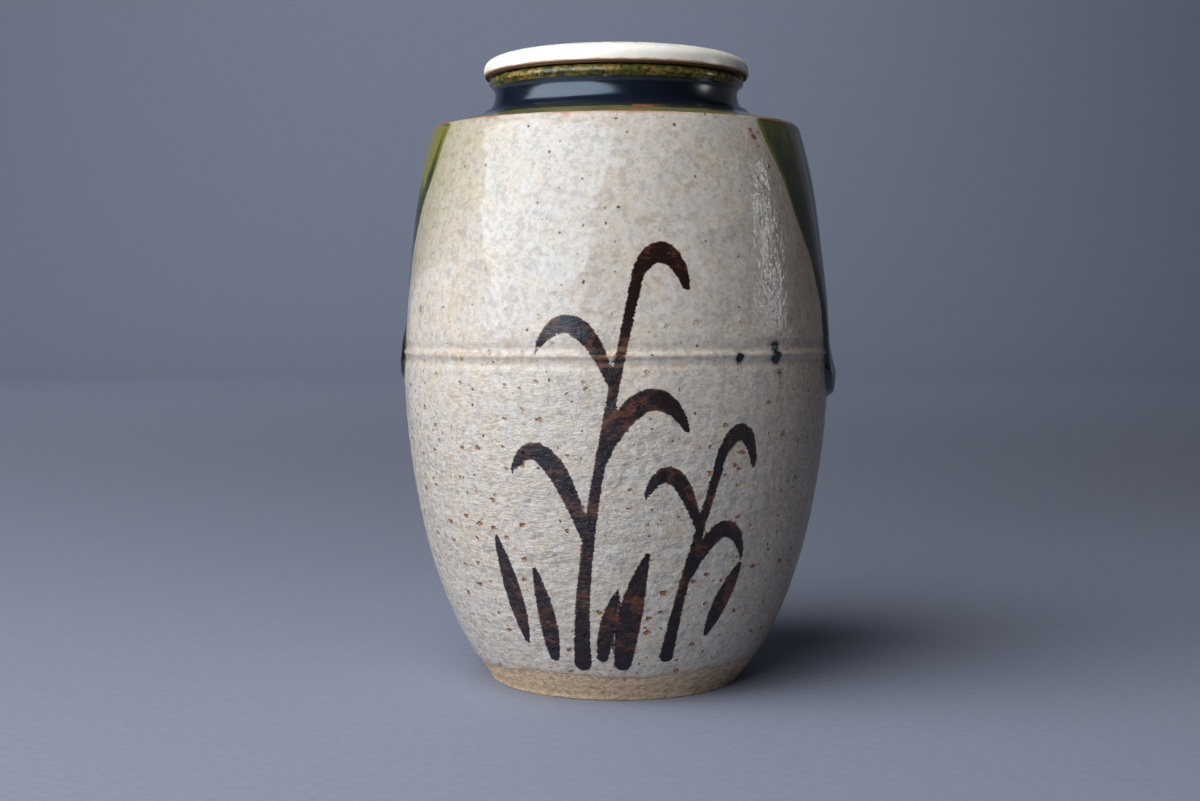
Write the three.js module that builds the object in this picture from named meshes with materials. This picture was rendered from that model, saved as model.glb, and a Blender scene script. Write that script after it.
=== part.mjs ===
// A stoneware tea caddy for powdered tea: a thrown jar with a short waisted neck, a copper-green
// overglaze that has run down both sides into drips, and a flat turned lid with a gilt paper lining.
// Millimetres, +Z up. The origin is the centre of the flat foot, and the front faces -Y.

import * as THREE from "three";
import { mergeVertices } from "three/addons/utils/BufferGeometryUtils.js";

// Jar: radii of the outer wall
const footRadius = 18.85;
const bellyRadius = 31.5;
const shoulderRadius = 26.92;
const neckRadius = 17.8;
const neckFlare = 3.5;
const lipProud = 1.05;

// Jar: heights, each measured from the one before it where it is called a rise
const bellyHeight = 45;
const shoulderHeight = 81;
const shoulderRise = 1.6;
const waistRise = 3.9;
const lipFootRise = 1.5;
const lipThickness = 0.7;

// Jar: edges, walls and the turned line round the belly
const footBevel = 0.4;
const shoulderEdge = 0.7;
const floorThickness = 4.2;
const floorInset = 4.85;
const wallThickness = 3;
const neckWall = 2.3;
const lipRound = 0.5;
const ridgeRise = 3.7;
const ridgeWidth = 0.9;
const ridgeProud = 0.3;
const grooveWidth = 1.3;
const grooveDepth = 0.3;

// Handles of the curves, as shares of the width and of the rise of the stretch that they bend
const lowerWallShares = { startWidth: 0.944, startRise: 0.325, endRise: 0.955 };
const upperWallShares = { startRise: 0.146, endWidth: 0.703, endRise: 0.724 };
const neckShares = { startWidth: 0.4, startRise: 0.14, endRise: 0.46 };
const ceilingShares = { startWidth: 0.86, startRise: 0.45, endRise: 0.9 };

// Corners, as shares of the width of the shoulder's edge, and of the overhang and height of the lip
const cornerShares = { rise: 1 / 4, bendWidth: 1 / 5, bendDrop: 1 / 8 };
const lipShares = { footWidth: 1 / 7, cornerWidth: 3 / 4, flatWidth: 1 / 2 };
const lipRiseShares = { under: 1 / 5, widest: 1 / 2, over: 5 / 6 };

// Green glaze: thicknesses, and the gap that keeps it clear of the clay under it
const glazeGap = 0.08;
const collarThickness = 0.32;
const runThickness = 0.42;
const glazeEdge = 1.1;
const collarWave = 0.35;
const dripSpread = 3.2;
const dripRow = 1.8;

// Green glaze: the sides of each run, as directions from the front in degrees, and the drips that
// hang from it below the turned line. A side runs from its top at the collar to its foot.
const runs = [
  {
    start: { top: 42, foot: 70, power: 1.15 },
    end: { top: 152, foot: 128, power: 1.15 },
    drips: [
      { angle: 84, halfAngle: 13, drop: 6.9, proud: 0.78 },
      { angle: 113, halfAngle: 10, drop: 4, proud: 0.45 },
    ],
  },
  {
    start: { top: 210, foot: 230, power: 1.15 },
    end: { top: 306, foot: 280, power: 0.8 },
    drips: [
      { angle: 242, halfAngle: 9, drop: 3, proud: 0.35 },
      { angle: 268, halfAngle: 10, drop: 4.7, proud: 0.48 },
    ],
  },
];
const drips = runs.flatMap((run) => run.drips);
const straightShare = 0.82;
const lineShare = 0.6;
const edgeShares = [1, 0.55, 0.2, 0];
const waveCount = 5;
const runStep = 5.5;
const collarStep = 7;
const steepest = 3;
const dripFalloff = 2;
const holdShare = 1 / 4;

// Lid and its lining
const seatGap = 0.1;
const lidOverhang = 0.75;
const lidThickness = 3.1;
const lidEdgeBreak = 0.15;
const lidEdgeReach = 9.7;
const lidEdgePower = 3.56;
const lidEdgeRowPower = 0.8;
const dishRadius = 11.6;
const dishDepth = 1.5;
const knobRadius = 2.8;
const knobStemRadius = 1.7;
const knobHeight = 2.7;
const knobHeadShare = 0.62;
const knobBellyShare = 1 / 4;
const bossDepth = 1.5;
const bossClearance = 0.4;
const liningThickness = 0.2;
const liningInset = 0.3;
const glueGap = 0.05;

// Counts of facets, and of rows on the longer curves
const jarFacets = 52;
const lidFacets = 44;
const lowerRows = 8;
const upperRows = 6;
const neckCurveRows = 6;
const cornerRows = 3;
const ceilingRows = 3;
const innerUpperRows = 4;
const innerLowerRows = 6;
const lidEdgeRows = 8;
const dishRows = 5;
const knobRows = 5;

// A full turn and the step that measures a slope, in degrees, and the fineness of searches
const fullTurn = 360;
const slopeStep = 1;
const halvings = 40;
const weldDistance = 0.001;

// Heights and radii that follow from the sizes above
const neckFootHeight = shoulderHeight + shoulderRise;
const waistHeight = neckFootHeight + waistRise;
const lipFootHeight = waistHeight + lipFootRise;
const rimHeight = lipFootHeight + lipThickness;
const ridgeHeight = bellyHeight + ridgeRise;
const lipRadius = neckRadius + lipProud;
const mouthRadius = neckRadius - neckWall;

// A point of an outline: distance from the axis, then height
function point(radius, height) {
  return new THREE.Vector2(radius, height);
}

function between(a, b, share) {
  return a + (b - a) * share;
}

// The swelling lower wall, from the foot to the belly
function lowerWall(startRadius, startHeight, endRadius) {
  const shares = lowerWallShares;
  return new THREE.CubicBezierCurve(
    point(startRadius, startHeight),
    point(between(startRadius, endRadius, shares.startWidth),
      between(startHeight, bellyHeight, shares.startRise)),
    point(endRadius, between(startHeight, bellyHeight, shares.endRise)),
    point(endRadius, bellyHeight),
  );
}

// The upper wall, drawn in from the belly to the edge of the shoulder
function upperWall(startRadius, endRadius, endHeight) {
  const shares = upperWallShares;
  return new THREE.CubicBezierCurve(
    point(startRadius, bellyHeight),
    point(startRadius, between(bellyHeight, endHeight, shares.startRise)),
    point(between(endRadius, startRadius, shares.endWidth),
      between(bellyHeight, endHeight, shares.endRise)),
    point(endRadius, endHeight),
  );
}

// The point at a given height on a curve whose height only grows
function pointAtHeight(curve, height) {
  let low = 0;
  let high = 1;
  for (let step = 0; step < halvings; step += 1) {
    const middle = (low + high) / 2;
    if (curve.getPoint(middle).y < height) low = middle;
    else high = middle;
  }
  return curve.getPoint(low);
}

// A fine ridge between two shallow grooves, as rises from the ridge and steps out of the wall
function turnedLine() {
  const half = ridgeWidth / 2;
  return [
    [-half - grooveWidth, 0],
    [-half - grooveWidth / 2, -grooveDepth],
    [-half, 0],
    [0, ridgeProud],
    [half, 0],
    [half + grooveWidth / 2, -grooveDepth],
    [half + grooveWidth, 0],
  ];
}

// The outer wall from the foot to the edge of the shoulder. Each row keeps the plain radius too,
// which the wall would have without the turned line.
function wallRows() {
  const rows = [];
  const lower = lowerWall(footRadius, footBevel, bellyRadius);
  lower.getPoints(lowerRows).forEach((p) => rows.push({ radius: p.x, height: p.y, plain: p.x }));
  const upper = upperWall(bellyRadius, shoulderRadius, shoulderHeight);
  for (const [rise, step] of turnedLine()) {
    const plain = pointAtHeight(upper, ridgeHeight + rise).x;
    rows.push({
      radius: plain + step, height: ridgeHeight + rise, plain, line: true, groove: step < 0,
    });
  }
  const lineTop = rows[rows.length - 1].height;
  for (let row = 1; row <= upperRows; row += 1) {
    const p = pointAtHeight(upper, between(lineTop, shoulderHeight, row / upperRows));
    rows.push({ radius: p.x, height: p.y, plain: p.x });
  }
  return rows;
}

// The shoulder and the waisted neck, from the edge of the shoulder to the foot of the lip
function neckRows() {
  const neckFoot = point(neckRadius + neckFlare, neckFootHeight);
  const edgeStart = point(shoulderRadius, shoulderHeight);
  const edgeShare = shoulderEdge / (shoulderRadius - neckFoot.x);
  const edgeEnd = point(shoulderRadius - shoulderEdge,
    between(shoulderHeight, neckFootHeight, edgeShare) + shoulderEdge * cornerShares.rise);
  const edge = new THREE.QuadraticBezierCurve(edgeStart,
    point(shoulderRadius - shoulderEdge * cornerShares.bendWidth,
      edgeEnd.y - shoulderEdge * cornerShares.bendDrop), edgeEnd);
  const shares = neckShares;
  const waist = new THREE.CubicBezierCurve(
    neckFoot,
    point(neckRadius + neckFlare * shares.startWidth, neckFootHeight + waistRise * shares.startRise),
    point(neckRadius, neckFootHeight + waistRise * shares.endRise),
    point(neckRadius, waistHeight),
  );
  const points = [
    ...edge.getPoints(cornerRows).slice(1),
    point((edgeEnd.x + neckFoot.x) / 2, (edgeEnd.y + neckFoot.y) / 2),
    ...waist.getPoints(neckCurveRows),
    point(neckRadius + lipProud * lipShares.footWidth, lipFootHeight),
  ];
  return points.map((p) => ({ radius: p.x, height: p.y, plain: p.x }));
}

// The rolled lip, from its foot over the flat rim to the edge of the mouth
function lipPoints() {
  const corner = between(neckRadius, lipRadius, lipShares.cornerWidth);
  return [
    point(corner, between(lipFootHeight, rimHeight, lipRiseShares.under)),
    point(lipRadius, between(lipFootHeight, rimHeight, lipRiseShares.widest)),
    point(corner, between(lipFootHeight, rimHeight, lipRiseShares.over)),
    point(between(neckRadius, lipRadius, lipShares.flatWidth), rimHeight),
    point(mouthRadius + lipRound, rimHeight),
    point(mouthRadius, rimHeight - lipRound),
  ];
}

// The hollow, from the mouth down to the middle of the floor
function hollowPoints() {
  const innerShoulder = point(shoulderRadius - wallThickness, shoulderHeight - wallThickness);
  const boreFoot = point(mouthRadius, shoulderHeight);
  const shares = ceilingShares;
  const ceiling = new THREE.CubicBezierCurve(
    boreFoot,
    point(mouthRadius, between(innerShoulder.y, boreFoot.y, shares.startRise)),
    point(between(mouthRadius, innerShoulder.x, shares.startWidth),
      between(innerShoulder.y, boreFoot.y, 1 - shares.endRise)),
    innerShoulder,
  );
  const innerBelly = bellyRadius - wallThickness;
  const upper = upperWall(innerBelly, innerShoulder.x, innerShoulder.y);
  const lower = lowerWall(footRadius - floorInset, floorThickness, innerBelly);
  return [
    ...ceiling.getPoints(ceilingRows),
    ...upper.getPoints(innerUpperRows).reverse().slice(1),
    ...lower.getPoints(innerLowerRows).reverse().slice(1),
    point(0, floorThickness),
  ];
}

// Turns an outline about the upright axis
function turn(points, facets) {
  const geometry = new THREE.LatheGeometry(points, facets);
  geometry.rotateX(Math.PI / 2);
  return geometry;
}

function jarGeometry() {
  const outer = [...wallRows(), ...neckRows()].map((row) => point(row.radius, row.height));
  return turn([
    point(0, 0),
    point(footRadius - footBevel, 0),
    ...outer,
    ...lipPoints(),
    ...hollowPoints(),
  ], jarFacets);
}

// What the green glaze lies on, from below the longest drip to the foot of the lip, with each row's
// distance down from the lip. It bridges the grooves of the turned line, level with the ridge.
function glazeBase() {
  const longest = Math.max(...drips.map((drip) => drip.drop));
  const rows = [...wallRows(), ...neckRows()];
  const first = rows.findIndex((row) => row.height > ridgeHeight - longest - glazeEdge);
  const base = rows.slice(first - 1).filter((row) => !row.groove);
  let down = 0;
  for (let index = base.length - 1; index >= 0; index -= 1) {
    const row = base[index];
    const above = base[Math.min(index + 1, base.length - 1)];
    const below = base[Math.max(index - 1, 0)];
    down += Math.hypot(above.plain - row.plain, above.height - row.height);
    row.down = down;
    row.proud = row.line ? ridgeProud : 0;
    row.out = point(above.height - below.height, below.plain - above.plain).normalize();
  }
  return base;
}

// The place on the base at a distance down from the lip
function baseAt(base, down) {
  const index = Math.max(1, base.findIndex((row) => row.down <= down));
  const above = base[index];
  const below = base[index - 1];
  const share = (down - above.down) / (below.down - above.down);
  const proud = between(above.proud, below.proud, share);
  return {
    radius: between(above.plain, below.plain, share) + proud,
    height: between(above.height, below.height, share),
    out: above.out.clone().lerp(below.out, share).normalize(),
    proud,
  };
}

// The distance down from the lip at a given height
function downAt(base, height) {
  const index = Math.max(1, base.findIndex((row) => row.height >= height));
  const above = base[index];
  const below = base[index - 1];
  return between(below.down, above.down, (height - below.height) / (above.height - below.height));
}

// The direction of one side of a run at a distance down from the lip
function sideAngle(side, down, levels) {
  const share = (down - levels.collar) / ((levels.line - levels.collar) * straightShare);
  return between(side.top, side.foot, THREE.MathUtils.clamp(share, 0, 1) ** side.power);
}

// How far down from the lip a run reaches in a given direction
function runReach(angle, levels) {
  let reach = levels.line;
  for (const drip of drips) {
    const side = (angle - drip.angle) / drip.halfAngle;
    if (Math.abs(side) < 1) reach += drip.drop * Math.sqrt(1 - side * side);
  }
  return reach;
}

// The thickness of the glaze away from its edges, with a swelling above the end of each drip
function glazeBody(angle, down, levels) {
  const share = THREE.MathUtils.smoothstep(down, levels.collar, levels.line);
  let body = between(collarThickness, runThickness, share);
  for (const drip of drips) {
    const side = (angle - drip.angle) / drip.halfAngle;
    const along = (down - (levels.line + drip.drop - dripSpread)) / dripSpread;
    body += drip.proud * Math.exp(-dripFalloff * side * side - along * along);
  }
  return body;
}

// The thickness near an edge, where the glaze rounds over to nothing
function rounded(body, inward) {
  const share = THREE.MathUtils.clamp(inward, 0, 1);
  return body * Math.sqrt(share * (2 - share));
}

// The distances down from the lip of the rows that all columns share, and the number of them that
// the collar has. Its lower edge has rows of its own, and the rows are close below the ridge.
function glazeSteps(base, levels) {
  const steps = edgeShares.map((share) => levels.collar - glazeEdge * share);
  for (let index = base.length - 1; index > 0; index -= 1) {
    const from = base[index].down;
    const to = base[index - 1].down;
    const parts = base[index].height < ridgeHeight ? Math.ceil((to - from) / dripRow) : 1;
    for (let part = 0; part < parts; part += 1) steps.push(between(from, to, part / parts));
  }
  steps.sort((a, b) => a - b);
  return { steps, collarRows: steps.indexOf(levels.collar) + 1 };
}

// The columns of the glaze in order round the jar. Those of a run keep to its sides, and those
// between two runs carry the collar alone.
function glazeColumns() {
  const columns = [];
  runs.forEach((run, index) => {
    const next = runs[(index + 1) % runs.length];
    const nextStart = next.start.top + (index + 1 < runs.length ? 0 : fullTurn);
    const inner = Math.ceil((run.end.top - run.start.top) / runStep);
    edgeShares.toReversed().forEach((inset) => columns.push({ run, inset, across: 0 }));
    for (let step = 1; step < inner; step += 1) {
      columns.push({ run, inset: 1, across: step / inner });
    }
    edgeShares.forEach((inset) => columns.push({ run, inset, across: 1 }));
    const count = Math.ceil((nextStart - run.end.top) / collarStep);
    for (let step = 1; step < count; step += 1) {
      columns.push({ angle: between(run.end.top, nextStart, step / count) });
    }
  });
  return columns;
}

// The direction of a column at a distance down, and how far inside the edge of the glaze it is
function columnAt(column, down, radius, levels) {
  const above = Math.max(0, levels.collar - down);
  if (!column.run) return { angle: column.angle, inward: above };
  const start = sideAngle(column.run.start, down, levels);
  const end = sideAngle(column.run.end, down, levels);
  const inset = THREE.MathUtils.radToDeg((glazeEdge * column.inset) / radius);
  const angle = between(start + inset, end - inset, column.across);
  const side = THREE.MathUtils.degToRad(Math.min(angle - start, end - angle)) * radius;
  return { angle, inward: Math.hypot(side, above) };
}

// The distances down of one column of a run, whose last rows follow the end of the run
function runSteps(column, steps, levels) {
  const { angle } = columnAt(column, levels.line, bellyRadius, levels);
  const reach = runReach(angle, levels);
  const rise = runReach(angle + slopeStep, levels) - runReach(angle - slopeStep, levels);
  const slope = rise / (2 * bellyRadius * THREE.MathUtils.degToRad(slopeStep));
  const edge = glazeEdge * Math.min(steepest, Math.hypot(1, slope));
  const full = reach - edge;
  const held = steps.map((down) => (down > full - edge * holdShare ? full : down));
  return { reach, edge, downs: [...held, ...edgeShares.map((share) => reach - edge * share)] };
}

// The surface of the glaze and its underside, down one column
function glazeColumn(column, base, layout, levels) {
  const ends = column.run ? runSteps(column, layout.steps, levels)
    : { reach: Infinity, edge: glazeEdge, downs: layout.steps.slice(0, layout.collarRows) };
  const surface = [];
  const under = [];
  for (const down of ends.downs) {
    const { angle, inward } = columnAt(column, down, baseAt(base, down).radius, levels);
    const wave = collarWave * Math.sin(THREE.MathUtils.degToRad(angle * waveCount));
    const moved = down + wave * Math.max(0, 1 - Math.abs(down - levels.collar) / neckFlare);
    const at = baseAt(base, moved);
    const body = glazeBody(angle, down, levels) - at.proud * lineShare;
    const share = Math.min(inward / glazeEdge, (ends.reach - down) / ends.edge);
    const place = (lift) => {
      const radius = at.radius + at.out.x * lift;
      const turned = THREE.MathUtils.degToRad(angle);
      return [radius * Math.sin(turned), -radius * Math.cos(turned), at.height + at.out.y * lift];
    };
    surface.push(place(glazeGap + rounded(body, share)));
    under.push(place(glazeGap));
  }
  return { run: column.run, surface, under };
}

// The coat of green glaze: a collar round the neck, and a run over the shoulder and down each side.
// Its surface and its underside meet along all its edges but the top, where a narrow wall joins them.
function glazeGeometry() {
  const base = glazeBase();
  const levels = { collar: downAt(base, neckFootHeight), line: downAt(base, ridgeHeight) };
  const layout = glazeSteps(base, levels);
  const columns = glazeColumns().map((column) => glazeColumn(column, base, layout, levels));
  const corners = [];
  columns.forEach((here, index) => {
    const next = columns[(index + 1) % columns.length];
    const deep = here.run && here.run === next.run;
    const rows = deep ? here.surface.length : layout.collarRows;
    for (let row = 1; row < rows; row += 1) {
      corners.push(here.surface[row - 1], here.surface[row], next.surface[row]);
      corners.push(here.surface[row - 1], next.surface[row], next.surface[row - 1]);
      corners.push(here.under[row], here.under[row - 1], next.under[row]);
      corners.push(next.under[row], here.under[row - 1], next.under[row - 1]);
    }
    corners.push(here.under[0], here.surface[0], next.surface[0]);
    corners.push(here.under[0], next.surface[0], next.under[0]);
  });
  const geometry = new THREE.BufferGeometry();
  geometry.setAttribute("position", new THREE.Float32BufferAttribute(corners.flat(), 3));
  return mergeVertices(geometry, weldDistance);
}

// The lid's outline stands on the plane where its lining meets the rim
const lidRadius = lipRadius + lidOverhang;
const liningBossRadius = mouthRadius - bossClearance;
const lidFace = liningThickness + glueGap;

// The rounded edge, from the sharp lower arris to the crest of the lid
function lidEdgePoints() {
  const power = 2 / lidEdgePower;
  const points = [];
  for (let row = 0; row <= lidEdgeRows; row += 1) {
    const angle = (row / lidEdgeRows) ** lidEdgeRowPower * (Math.PI / 2);
    const inward = Math.cos(angle) ** power;
    const up = Math.sin(angle) ** power;
    const radius = lidRadius - lidEdgeReach * (1 - inward);
    const height = lidFace + lidEdgeBreak + (lidThickness - lidEdgeBreak) * up;
    if (radius > dishRadius) points.push(point(radius, height));
  }
  return points;
}

// The shallow dish turned in the top, from its rim to the foot of the knob
function dishPoints() {
  const crest = lidFace + lidThickness;
  const points = [];
  for (let row = 0; row <= dishRows; row += 1) {
    const share = row / dishRows;
    const sink = (dishDepth * (1 - Math.cos(Math.PI * share))) / 2;
    points.push(point(between(dishRadius, knobStemRadius, share), crest - sink));
  }
  return points;
}

// The small button knob in the dish, from its stem to its top
function knobPoints() {
  const foot = lidFace + lidThickness - dishDepth;
  const headFoot = foot + knobHeight * (1 - knobHeadShare);
  const head = headFoot + knobHeight * knobHeadShare;
  const belly = between(headFoot, head, knobBellyShare);
  const points = [point(knobStemRadius, headFoot)];
  for (let row = 0; row <= knobRows; row += 1) {
    const angle = (row / knobRows) * (Math.PI / 2);
    const width = row === knobRows ? 0 : Math.cos(angle);
    points.push(point(knobRadius * width, between(belly, head, Math.sin(angle))));
  }
  return points;
}

function lidGeometry() {
  const bossRadius = liningBossRadius - lidFace;
  const bossFoot = lidFace - bossDepth;
  return turn([
    point(0, bossFoot),
    point(bossRadius, bossFoot),
    point(bossRadius, lidFace),
    point(lidRadius - lidEdgeBreak, lidFace),
    ...lidEdgePoints(),
    ...dishPoints(),
    ...knobPoints(),
  ], lidFacets);
}

// The gilt paper follows the lid's underside: over the ledge, down the boss and across it
function liningGeometry() {
  const innerRadius = liningBossRadius - liningThickness;
  const edge = lidRadius - liningInset;
  return turn([
    point(0, -bossDepth),
    point(liningBossRadius, -bossDepth),
    point(liningBossRadius, 0),
    point(edge, 0),
    point(edge, liningThickness),
    point(innerRadius, liningThickness),
    point(innerRadius, liningThickness - bossDepth),
    point(0, liningThickness - bossDepth),
  ], lidFacets);
}

const creamGlaze = new THREE.MeshStandardMaterial({ color: 0xc4b8a6, roughness: 0.28, metalness: 0 });
const greenGlaze = new THREE.MeshStandardMaterial({ color: 0x1c2a22, roughness: 0.12, metalness: 0 });
const turnedIvory = new THREE.MeshStandardMaterial({ color: 0xefe9dc, roughness: 0.35, metalness: 0 });
const giltPaper = new THREE.MeshStandardMaterial({ color: 0xb08a45, roughness: 0.4, metalness: 0.9 });

function piece(name, geometry, material) {
  const mesh = new THREE.Mesh(geometry, material);
  mesh.name = name;
  return mesh;
}

function jar() {
  const group = new THREE.Group();
  group.add(piece("jar_body", jarGeometry(), creamGlaze));
  group.add(piece("green_glaze", glazeGeometry(), greenGlaze));
  return group;
}

function lid() {
  const group = new THREE.Group();
  group.add(piece("lid", lidGeometry(), turnedIvory));
  group.add(piece("gilt_lining", liningGeometry(), giltPaper));
  group.position.z = rimHeight + seatGap;
  return group;
}

const teaCaddy = new THREE.Group();
teaCaddy.add(jar(), lid());

export default teaCaddy;
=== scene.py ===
"""A stoneware tea caddy in its finished looks: a glazed jar with brushed reeds, a copper-green
overglaze that has run into drips, a turned lid and the gilt paper under it.

Each piece is modelled in place, in metres, and stands in for the solid of the same form in the
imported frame. A direction round the jar is in degrees from the front, which faces -Y, towards +X.
"""

import math

import bpy
import numpy as np
from bpy.props import FloatProperty, FloatVectorProperty, IntProperty, PointerProperty
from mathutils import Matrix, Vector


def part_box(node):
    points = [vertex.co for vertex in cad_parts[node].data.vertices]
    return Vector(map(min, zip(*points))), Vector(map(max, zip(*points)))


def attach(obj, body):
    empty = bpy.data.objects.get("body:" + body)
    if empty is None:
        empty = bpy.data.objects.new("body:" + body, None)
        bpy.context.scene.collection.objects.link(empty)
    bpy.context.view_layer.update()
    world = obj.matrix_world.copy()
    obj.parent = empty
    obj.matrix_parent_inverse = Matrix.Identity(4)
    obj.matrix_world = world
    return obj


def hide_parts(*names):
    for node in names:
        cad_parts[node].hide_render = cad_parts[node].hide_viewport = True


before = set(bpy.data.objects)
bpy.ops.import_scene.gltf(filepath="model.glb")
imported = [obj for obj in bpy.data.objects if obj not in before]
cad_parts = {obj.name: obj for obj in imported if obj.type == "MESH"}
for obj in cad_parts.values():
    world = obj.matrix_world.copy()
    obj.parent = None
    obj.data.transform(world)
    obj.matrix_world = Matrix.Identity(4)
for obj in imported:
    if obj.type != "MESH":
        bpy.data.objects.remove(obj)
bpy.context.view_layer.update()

bl_info = {
    "name": "Tea Caddy",
    "version": (1, 0, 0),
    "blender": (4, 5, 0),
    "location": "View3D > Sidebar > Tea Caddy",
    "description": "Models a stoneware tea caddy with its green glaze, turned lid and gilt lining",
    "category": "Add Mesh",
}

MM = 0.001
JAR_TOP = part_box("jar_body")[1]
LID_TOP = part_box("lid")[1]
LINING_FOOT, LINING_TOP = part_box("gilt_lining")

# Handles of the outline's curves, as shares of the width and of the rise of what they bend
LOWER_WALL_SHARES = {"start_width": 0.944, "start_rise": 0.325, "end_rise": 0.955}
UPPER_WALL_SHARES = {"start_rise": 0.146, "end_width": 0.703, "end_rise": 0.724}
NECK_SHARES = {"start_width": 0.22, "start_rise": 0.05, "end_rise": 0.25}
UNDER_LIP_SHARES = {"start_rise": 0.45, "end_width": 0.4, "end_rise": 0.8}
LIP_SHARES = {"middle": 0.3, "start_width": 0.6, "start_rise": 0.4, "bulge_rise": 0.7,
              "roll_rise": 0.4, "mouth_edge": 0.7}
CEILING_SHARES = {"width": 0.86, "start_rise": 0.45, "end_rise": 0.9}

# The knob's outline in shares of the radius of its stem, and then of the knob, and of its height
STEM_SHARES = ((1, 0), (0.82, 0.12), (0.82, 0.26))
KNOB_SHARES = ((0.86, 0.38), (1.06, 0.4541), (1.04, 0.72), (0.74, 0.88), (0.5, 1), (0.25, 1), (0, 1))

# How far apart the points lie along each stretch of an outline. The curves of the others set theirs.
JAR_SPACING = {
    "base": 2.4 * MM, "lower wall": 0.56 * MM, "turned line": 0.2 * MM, "upper wall": 0.6 * MM,
    "shoulder": 0.14 * MM, "neck": 0.5 * MM, "mouth": 1.5 * MM, "hollow": 3.4 * MM, "floor": 3.4 * MM,
}
COAT_SPACING = 0.42 * MM
LID_SPACING = {
    "boss foot": 1.6 * MM, "boss side": 0.4 * MM, "ledge": 0.8 * MM, "edge": 0.3 * MM,
    "dish": 0.35 * MM, "knob": 0.2 * MM,
}
LINING_SPACING = 0.5 * MM

# How near the plain wall or the base a point lies on it, and from what angle an edge looks sharp
SAME_PLACE = 0.05 * MM
SHARP_ANGLE = math.radians(40)

# What the hand and the fire left uneven: how far it wanders, the size of its waves, and its seed.
# A wandering of 1 is scaled by a size of the green glaze.
WALL_SWAY = (0.07 * MM, 70 * MM, 3)
WALL_DENTS = (0.028 * MM, 13 * MM, 8)
RING_DRIFT = (0.6, 30 * MM, 5)
LINE_WEAR = (0.25, 25 * MM, 12)
GLAZE_EDGE_SWAY = (0.45 * MM, 26 * MM, 21)
GLAZE_EDGE_RIPPLE = (0.12 * MM, 5 * MM, 22)
COLLAR_DRIFT = (1, 9 * MM, 31)
SIDE_DRIFT = (1, 11 * MM, 34)
TOP_DRIFT = (0.7, 9 * MM, 37)
TOP_RIPPLE = (0.6, 2.6 * MM, 38)
COAT_DRIFT = (0.12, 16 * MM, 41)

# The radius at which the waves round the jar have their size
TYPICAL_RADIUS = 30 * MM

# Throwing rings. Those outside are faint high on the wall, grow downwards, start above the foot and
# carry a finer set. Those inside are wider apart.
RING_PITCH = 2.7 * MM
RING_DEPTHS = (0.006 * MM, 0.028 * MM)
RING_FADE = (25 * MM, 60 * MM)
RING_START = 3 * MM
FINE_RING_SHARE = 0.6
INNER_RING_PITCH = 6 * MM
INNER_RING_DEPTH = 0.16 * MM

# The turned line sways up and down twice in a round. Its ridge and its grooves reach to each side
# of their middles by a share of their widths.
LINE_SWAY = 0.12 * MM
LINE_SWAYS = 2
LINE_START = 40
LINE_SPREAD_SHARE = 0.75

# The lower edge of the cream glaze: how far it is tilted, and where its step rises across it
GLAZE_EDGE_TILT = 0.2 * MM
GLAZE_STEP_RISE = (-0.4 * MM, 0.3 * MM)

# Runs of the green glaze: the directions of their sides at the collar and at the foot, how a side
# bends between them and swells at the turned line, and the drips below that line
RUNS = (
    {
        "start": {"top": 42.5, "foot": 72, "power": 1.35, "swell": 0},
        "end": {"top": 152, "foot": 128, "power": 1.15, "swell": 0},
        "drips": (
            {"angle": 84, "half_angle": 13, "drop": 6.9 * MM, "proud": 0.78 * MM},
            {"angle": 113, "half_angle": 10, "drop": 4.0 * MM, "proud": 0.45 * MM},
        ),
    },
    {
        "start": {"top": 210, "foot": 230, "power": 1.15, "swell": 0},
        "end": {"top": 302.5, "foot": 268, "power": 1.6, "swell": 8},
        "drips": (
            {"angle": 242, "half_angle": 9, "drop": 3.0 * MM, "proud": 0.35 * MM},
            {"angle": 267, "half_angle": 10, "drop": 4.7 * MM, "proud": 0.48 * MM},
        ),
    },
)

# How much of the way down to the line a side bends, how far above the line it begins to swell, and
# between which distances above the line its edge grows steeper
SIDE_LENGTH_SHARE = 0.82
SWELL_ABOVE_LINE = 6 * MM
STEEPENING = (14 * MM, 2 * MM)

# Waves round the foot of the collar, how steep the coat's upper edge is, where the coat is still
# thin below the lip, and how much of a run's width the fill on the shelf takes to fade
COLLAR_WAVES = 5
TOP_STEEPNESS = 3
THIN_TOP = (0.2 * MM, 3.2 * MM)
FILL_EDGE_SHARE = 0.6

# The steepest way that the coat is lifted, and a rise that keeps level points of a wall apart
MOST_TILT = math.radians(80)
LEAST_RISE = 1e-9

# Where the left run lies thin: between which directions, heights and distances from its edge this
# sets in and ends, and by what share
THIN_DIRECTIONS = ((185, 200), (318, 328))
THIN_HEIGHTS = (63 * MM, 79 * MM)
THIN_EDGE = (0.12 * MM, 0.4 * MM)
THIN_SHARE = 0.8

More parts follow.
